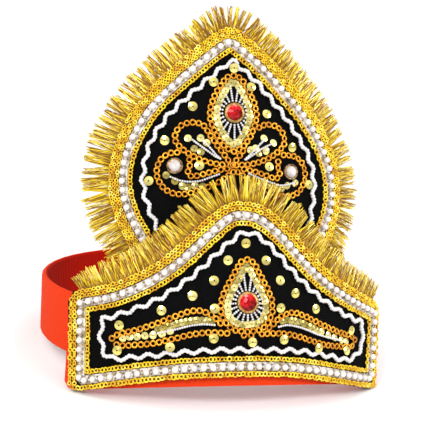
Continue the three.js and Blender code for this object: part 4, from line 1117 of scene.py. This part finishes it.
setting_gold = setting_finish("setting_gold", dark=(0.40, 0.22, 0.05), light=(0.80, 0.55, 0.20))
setting_bronze = setting_finish("setting_bronze", dark=(0.13, 0.07, 0.03), light=(0.58, 0.40, 0.22))
for stone in STONES:
    if stone["node"].endswith("_stone"):
        set_stone(stone, red_stone, "stone", CUT_STONE, setting_gold)
    else:
        set_stone(stone, cabochon_white, "pearl", DOME, setting_bronze)

# Tinsel fringes: fine strips of gold film sewn in along the edge of each panel, drawn together into small
# pointed bunches. On the front panel they are longest over the middle and shorter at the ends.
FRINGE_OUT = -1.1
STRANDS_IN_BUNCH = 22
SHORT_SHARE = 0.3
STRAND_RADIUS = 0.18
STRAND_WIDE = 1.4
STRAND_FLAT = 0.5
STRAND_TAPER = 0.3
STRAND_STEPS = 4
STRAND_SIDES = 4
BUNCH_PITCH = 2.2
BUNCH_LENGTHS = (0.88, 1.0)
BUNCH_LEAN = 0.07
BUNCH_TONES = (0.85, 1.0)
ROOT_HALF_WIDTH = 1.9
ROOT_STEP = 0.25
ROOT_DEPTHS = (-0.8, 0.8)
TIP_HALF_WIDTH = 1.2
TIP_DEPTHS = (-1.4, 1.6)
SHORT_LENGTHS = (0.4, 0.75)
LONG_STRAY = 0.09
STRAND_BOW = 0.25
SHORT_TONES = [0.0, 0.3]
LONG_TONES = [0.0, 0.1, 0.75, 0.9, 1.1]
# Painted shade: each strand runs darker towards its root over its first few millimetres.
SHADED_FOOT_LENGTH = 5.0
FOOT_PAINTED_SHADE = 0.15
TINSEL_DARK = (0.26, 0.10, 0.002)
TINSEL_GOLD = (1.0, 0.72, 0.02)
# Painted glint: the palest long strands run on to this pale colour.
TINSEL_GLINT = (1.0, 0.85, 0.24)
TINSEL_GLINT_FROM = 0.85
FRONT_EDGE = 7.4
REAR_EDGE = 7.8
REAR_FOOT = -6.0
FRONT_REACH = [(-96, 8), (-88, 11), (-80, 13.6), (-70, 15), (0, 16.5), (70, 15), (88, 14), (96, 11.8)]
FRONT_SWEEP = [(-96, -0.5), (-75, -0.12), (-60, 0), (60, 0.05), (88, 0.3), (97, 0.65)]
REAR_REACH_LEFT = [(0, 17.5), (33, 20.5), (55, 19), (75, 16.4), (100, 15.4), (113, 14.4)]
REAR_REACH_RIGHT = [(0, 17.5), (12, 18.4), (22, 20.6), (35, 22.4), (45, 20.6), (52, 18.8), (65, 16.4),
                    (75, 15.2), (113, 14.4)]
tinsel_gold = toned_finish("gold_tinsel", TINSEL_DARK, TINSEL_GOLD, roughness=0.28, metallic=0.35)
add_painted_glint(tinsel_gold, TINSEL_GLINT_FROM, TINSEL_GLINT)


def looked_up(table, value):
    places, values = zip(*table)
    return float(np.interp(value, places, values))


def front_reach(spot):
    return looked_up(FRONT_REACH, spot[0]), looked_up(FRONT_SWEEP, spot[0])


def rear_reach(spot):
    return looked_up(REAR_REACH_RIGHT if spot[0] > 0 else REAR_REACH_LEFT, spot[1]), 0.0


def strand_mesh(panel, root, tip, out_root, out_tip, bow, roll):
    """Corner points and faces of one strip of film from root to tip."""
    part = np.linspace(0, 1, STRAND_STEPS + 1)
    ahead = (tip - root) / np.linalg.norm(tip - root)
    left = np.array([-ahead[1], ahead[0]])
    middle = root + part[:, None] * (tip - root) + (bow * np.sin(math.pi * part))[:, None] * left
    depth = out_root + part * (out_tip - out_root)
    thick = STRAND_RADIUS * (1.0 - STRAND_TAPER * part)
    corners = []
    for i in range(STRAND_SIDES):
        angle = roll + 2 * math.pi * i / STRAND_SIDES
        sideways = middle + (thick * STRAND_WIDE * math.cos(angle))[:, None] * left
        out = depth + thick * STRAND_FLAT * math.sin(angle)
        corners.append(on_panel(panel, sideways[:, 0], sideways[:, 1], out))
    points = np.stack(corners, axis=1).reshape(-1, 3)
    faces = []
    for step in range(STRAND_STEPS):
        for i in range(STRAND_SIDES):
            j = (i + 1) % STRAND_SIDES
            a, b = step * STRAND_SIDES, (step + 1) * STRAND_SIDES
            faces.append((a + i, a + j, b + j, b + i))
    last = STRAND_STEPS * STRAND_SIDES
    faces.append(tuple(range(STRAND_SIDES - 1, -1, -1)))
    faces.append(tuple(last + i for i in range(STRAND_SIDES)))
    return points, faces


def tinsel(name, panel, edge, reach_at, node):
    bunches = evenly(edge, BUNCH_PITCH)
    fine = evenly(edge, ROOT_STEP)
    ahead = directions(bunches)
    outward = left_of(bunches)
    points, faces, tones = [], [], []
    start = 0
    along = np.repeat(np.linspace(0, 1, STRAND_STEPS + 1), STRAND_SIDES)
    for i, spot in enumerate(bunches):
        longest, sweep = reach_at(spot)
        long = longest * chance.uniform(*BUNCH_LENGTHS)
        lean = sweep + chance.normal(0.0, BUNCH_LEAN)
        bunch_tone = chance.uniform(*BUNCH_TONES)
        heading = outward[i] + lean * ahead[i]
        centre = int(np.argmin(np.linalg.norm(fine - spot, axis=1)))
        for _ in range(STRANDS_IN_BUNCH):
            aside = chance.uniform(-1.0, 1.0)
            root = fine[int(np.clip(centre + round(ROOT_HALF_WIDTH * aside / ROOT_STEP), 0, len(fine) - 1))]
            short = chance.random() < SHORT_SHARE
            share = chance.uniform(*SHORT_LENGTHS) if short else 1 - abs(chance.normal(0.0, LONG_STRAY))
            far = long * share
            tip = spot + TIP_HALF_WIDTH * chance.uniform(-1.0, 1.0) * ahead[i] + far * heading
            out_root = FRINGE_OUT + chance.uniform(*ROOT_DEPTHS)
            out_tip = FRINGE_OUT + chance.uniform(*TIP_DEPTHS)
            bow = chance.normal(0.0, STRAND_BOW)
            roll = chance.uniform(0.0, math.pi)
            strand, quads = strand_mesh(panel, root, tip, out_root, out_tip, bow, roll)
            points.append(strand)
            faces.extend(tuple(start + c for c in quad) for quad in quads)
            bright = bunch_tone * chance.choice(SHORT_TONES if short else LONG_TONES)
            # Painted shade, darker towards each strand's root; the brightest tones take the painted glint.
            tones.extend(bright * np.clip(FOOT_PAINTED_SHADE + along * far / SHADED_FOOT_LENGTH, 0, 1))
            start += len(strand)
    mesh = bpy.data.meshes.new(name)
    mesh.from_pydata([tuple(p) for p in np.vstack(points)], [], faces)
    tone = mesh.attributes.new("tone", "FLOAT", "POINT")
    tone.data.foreach_set("value", np.array(tones, np.float32))
    settle(plain_object(name, mesh, tinsel_gold), "tinsel", node)


tinsel("front_tinsel", FRONT, beside(front_top, FRONT_EDGE), front_reach, "front_fringe")
rear_fringe_edge = beside(rear_line, REAR_EDGE)
rear_fringe_edge = rear_fringe_edge[rear_fringe_edge[:, 1] > REAR_FOOT]
tinsel("rear_tinsel", REAR, rear_fringe_edge, rear_reach, "rear_fringe")
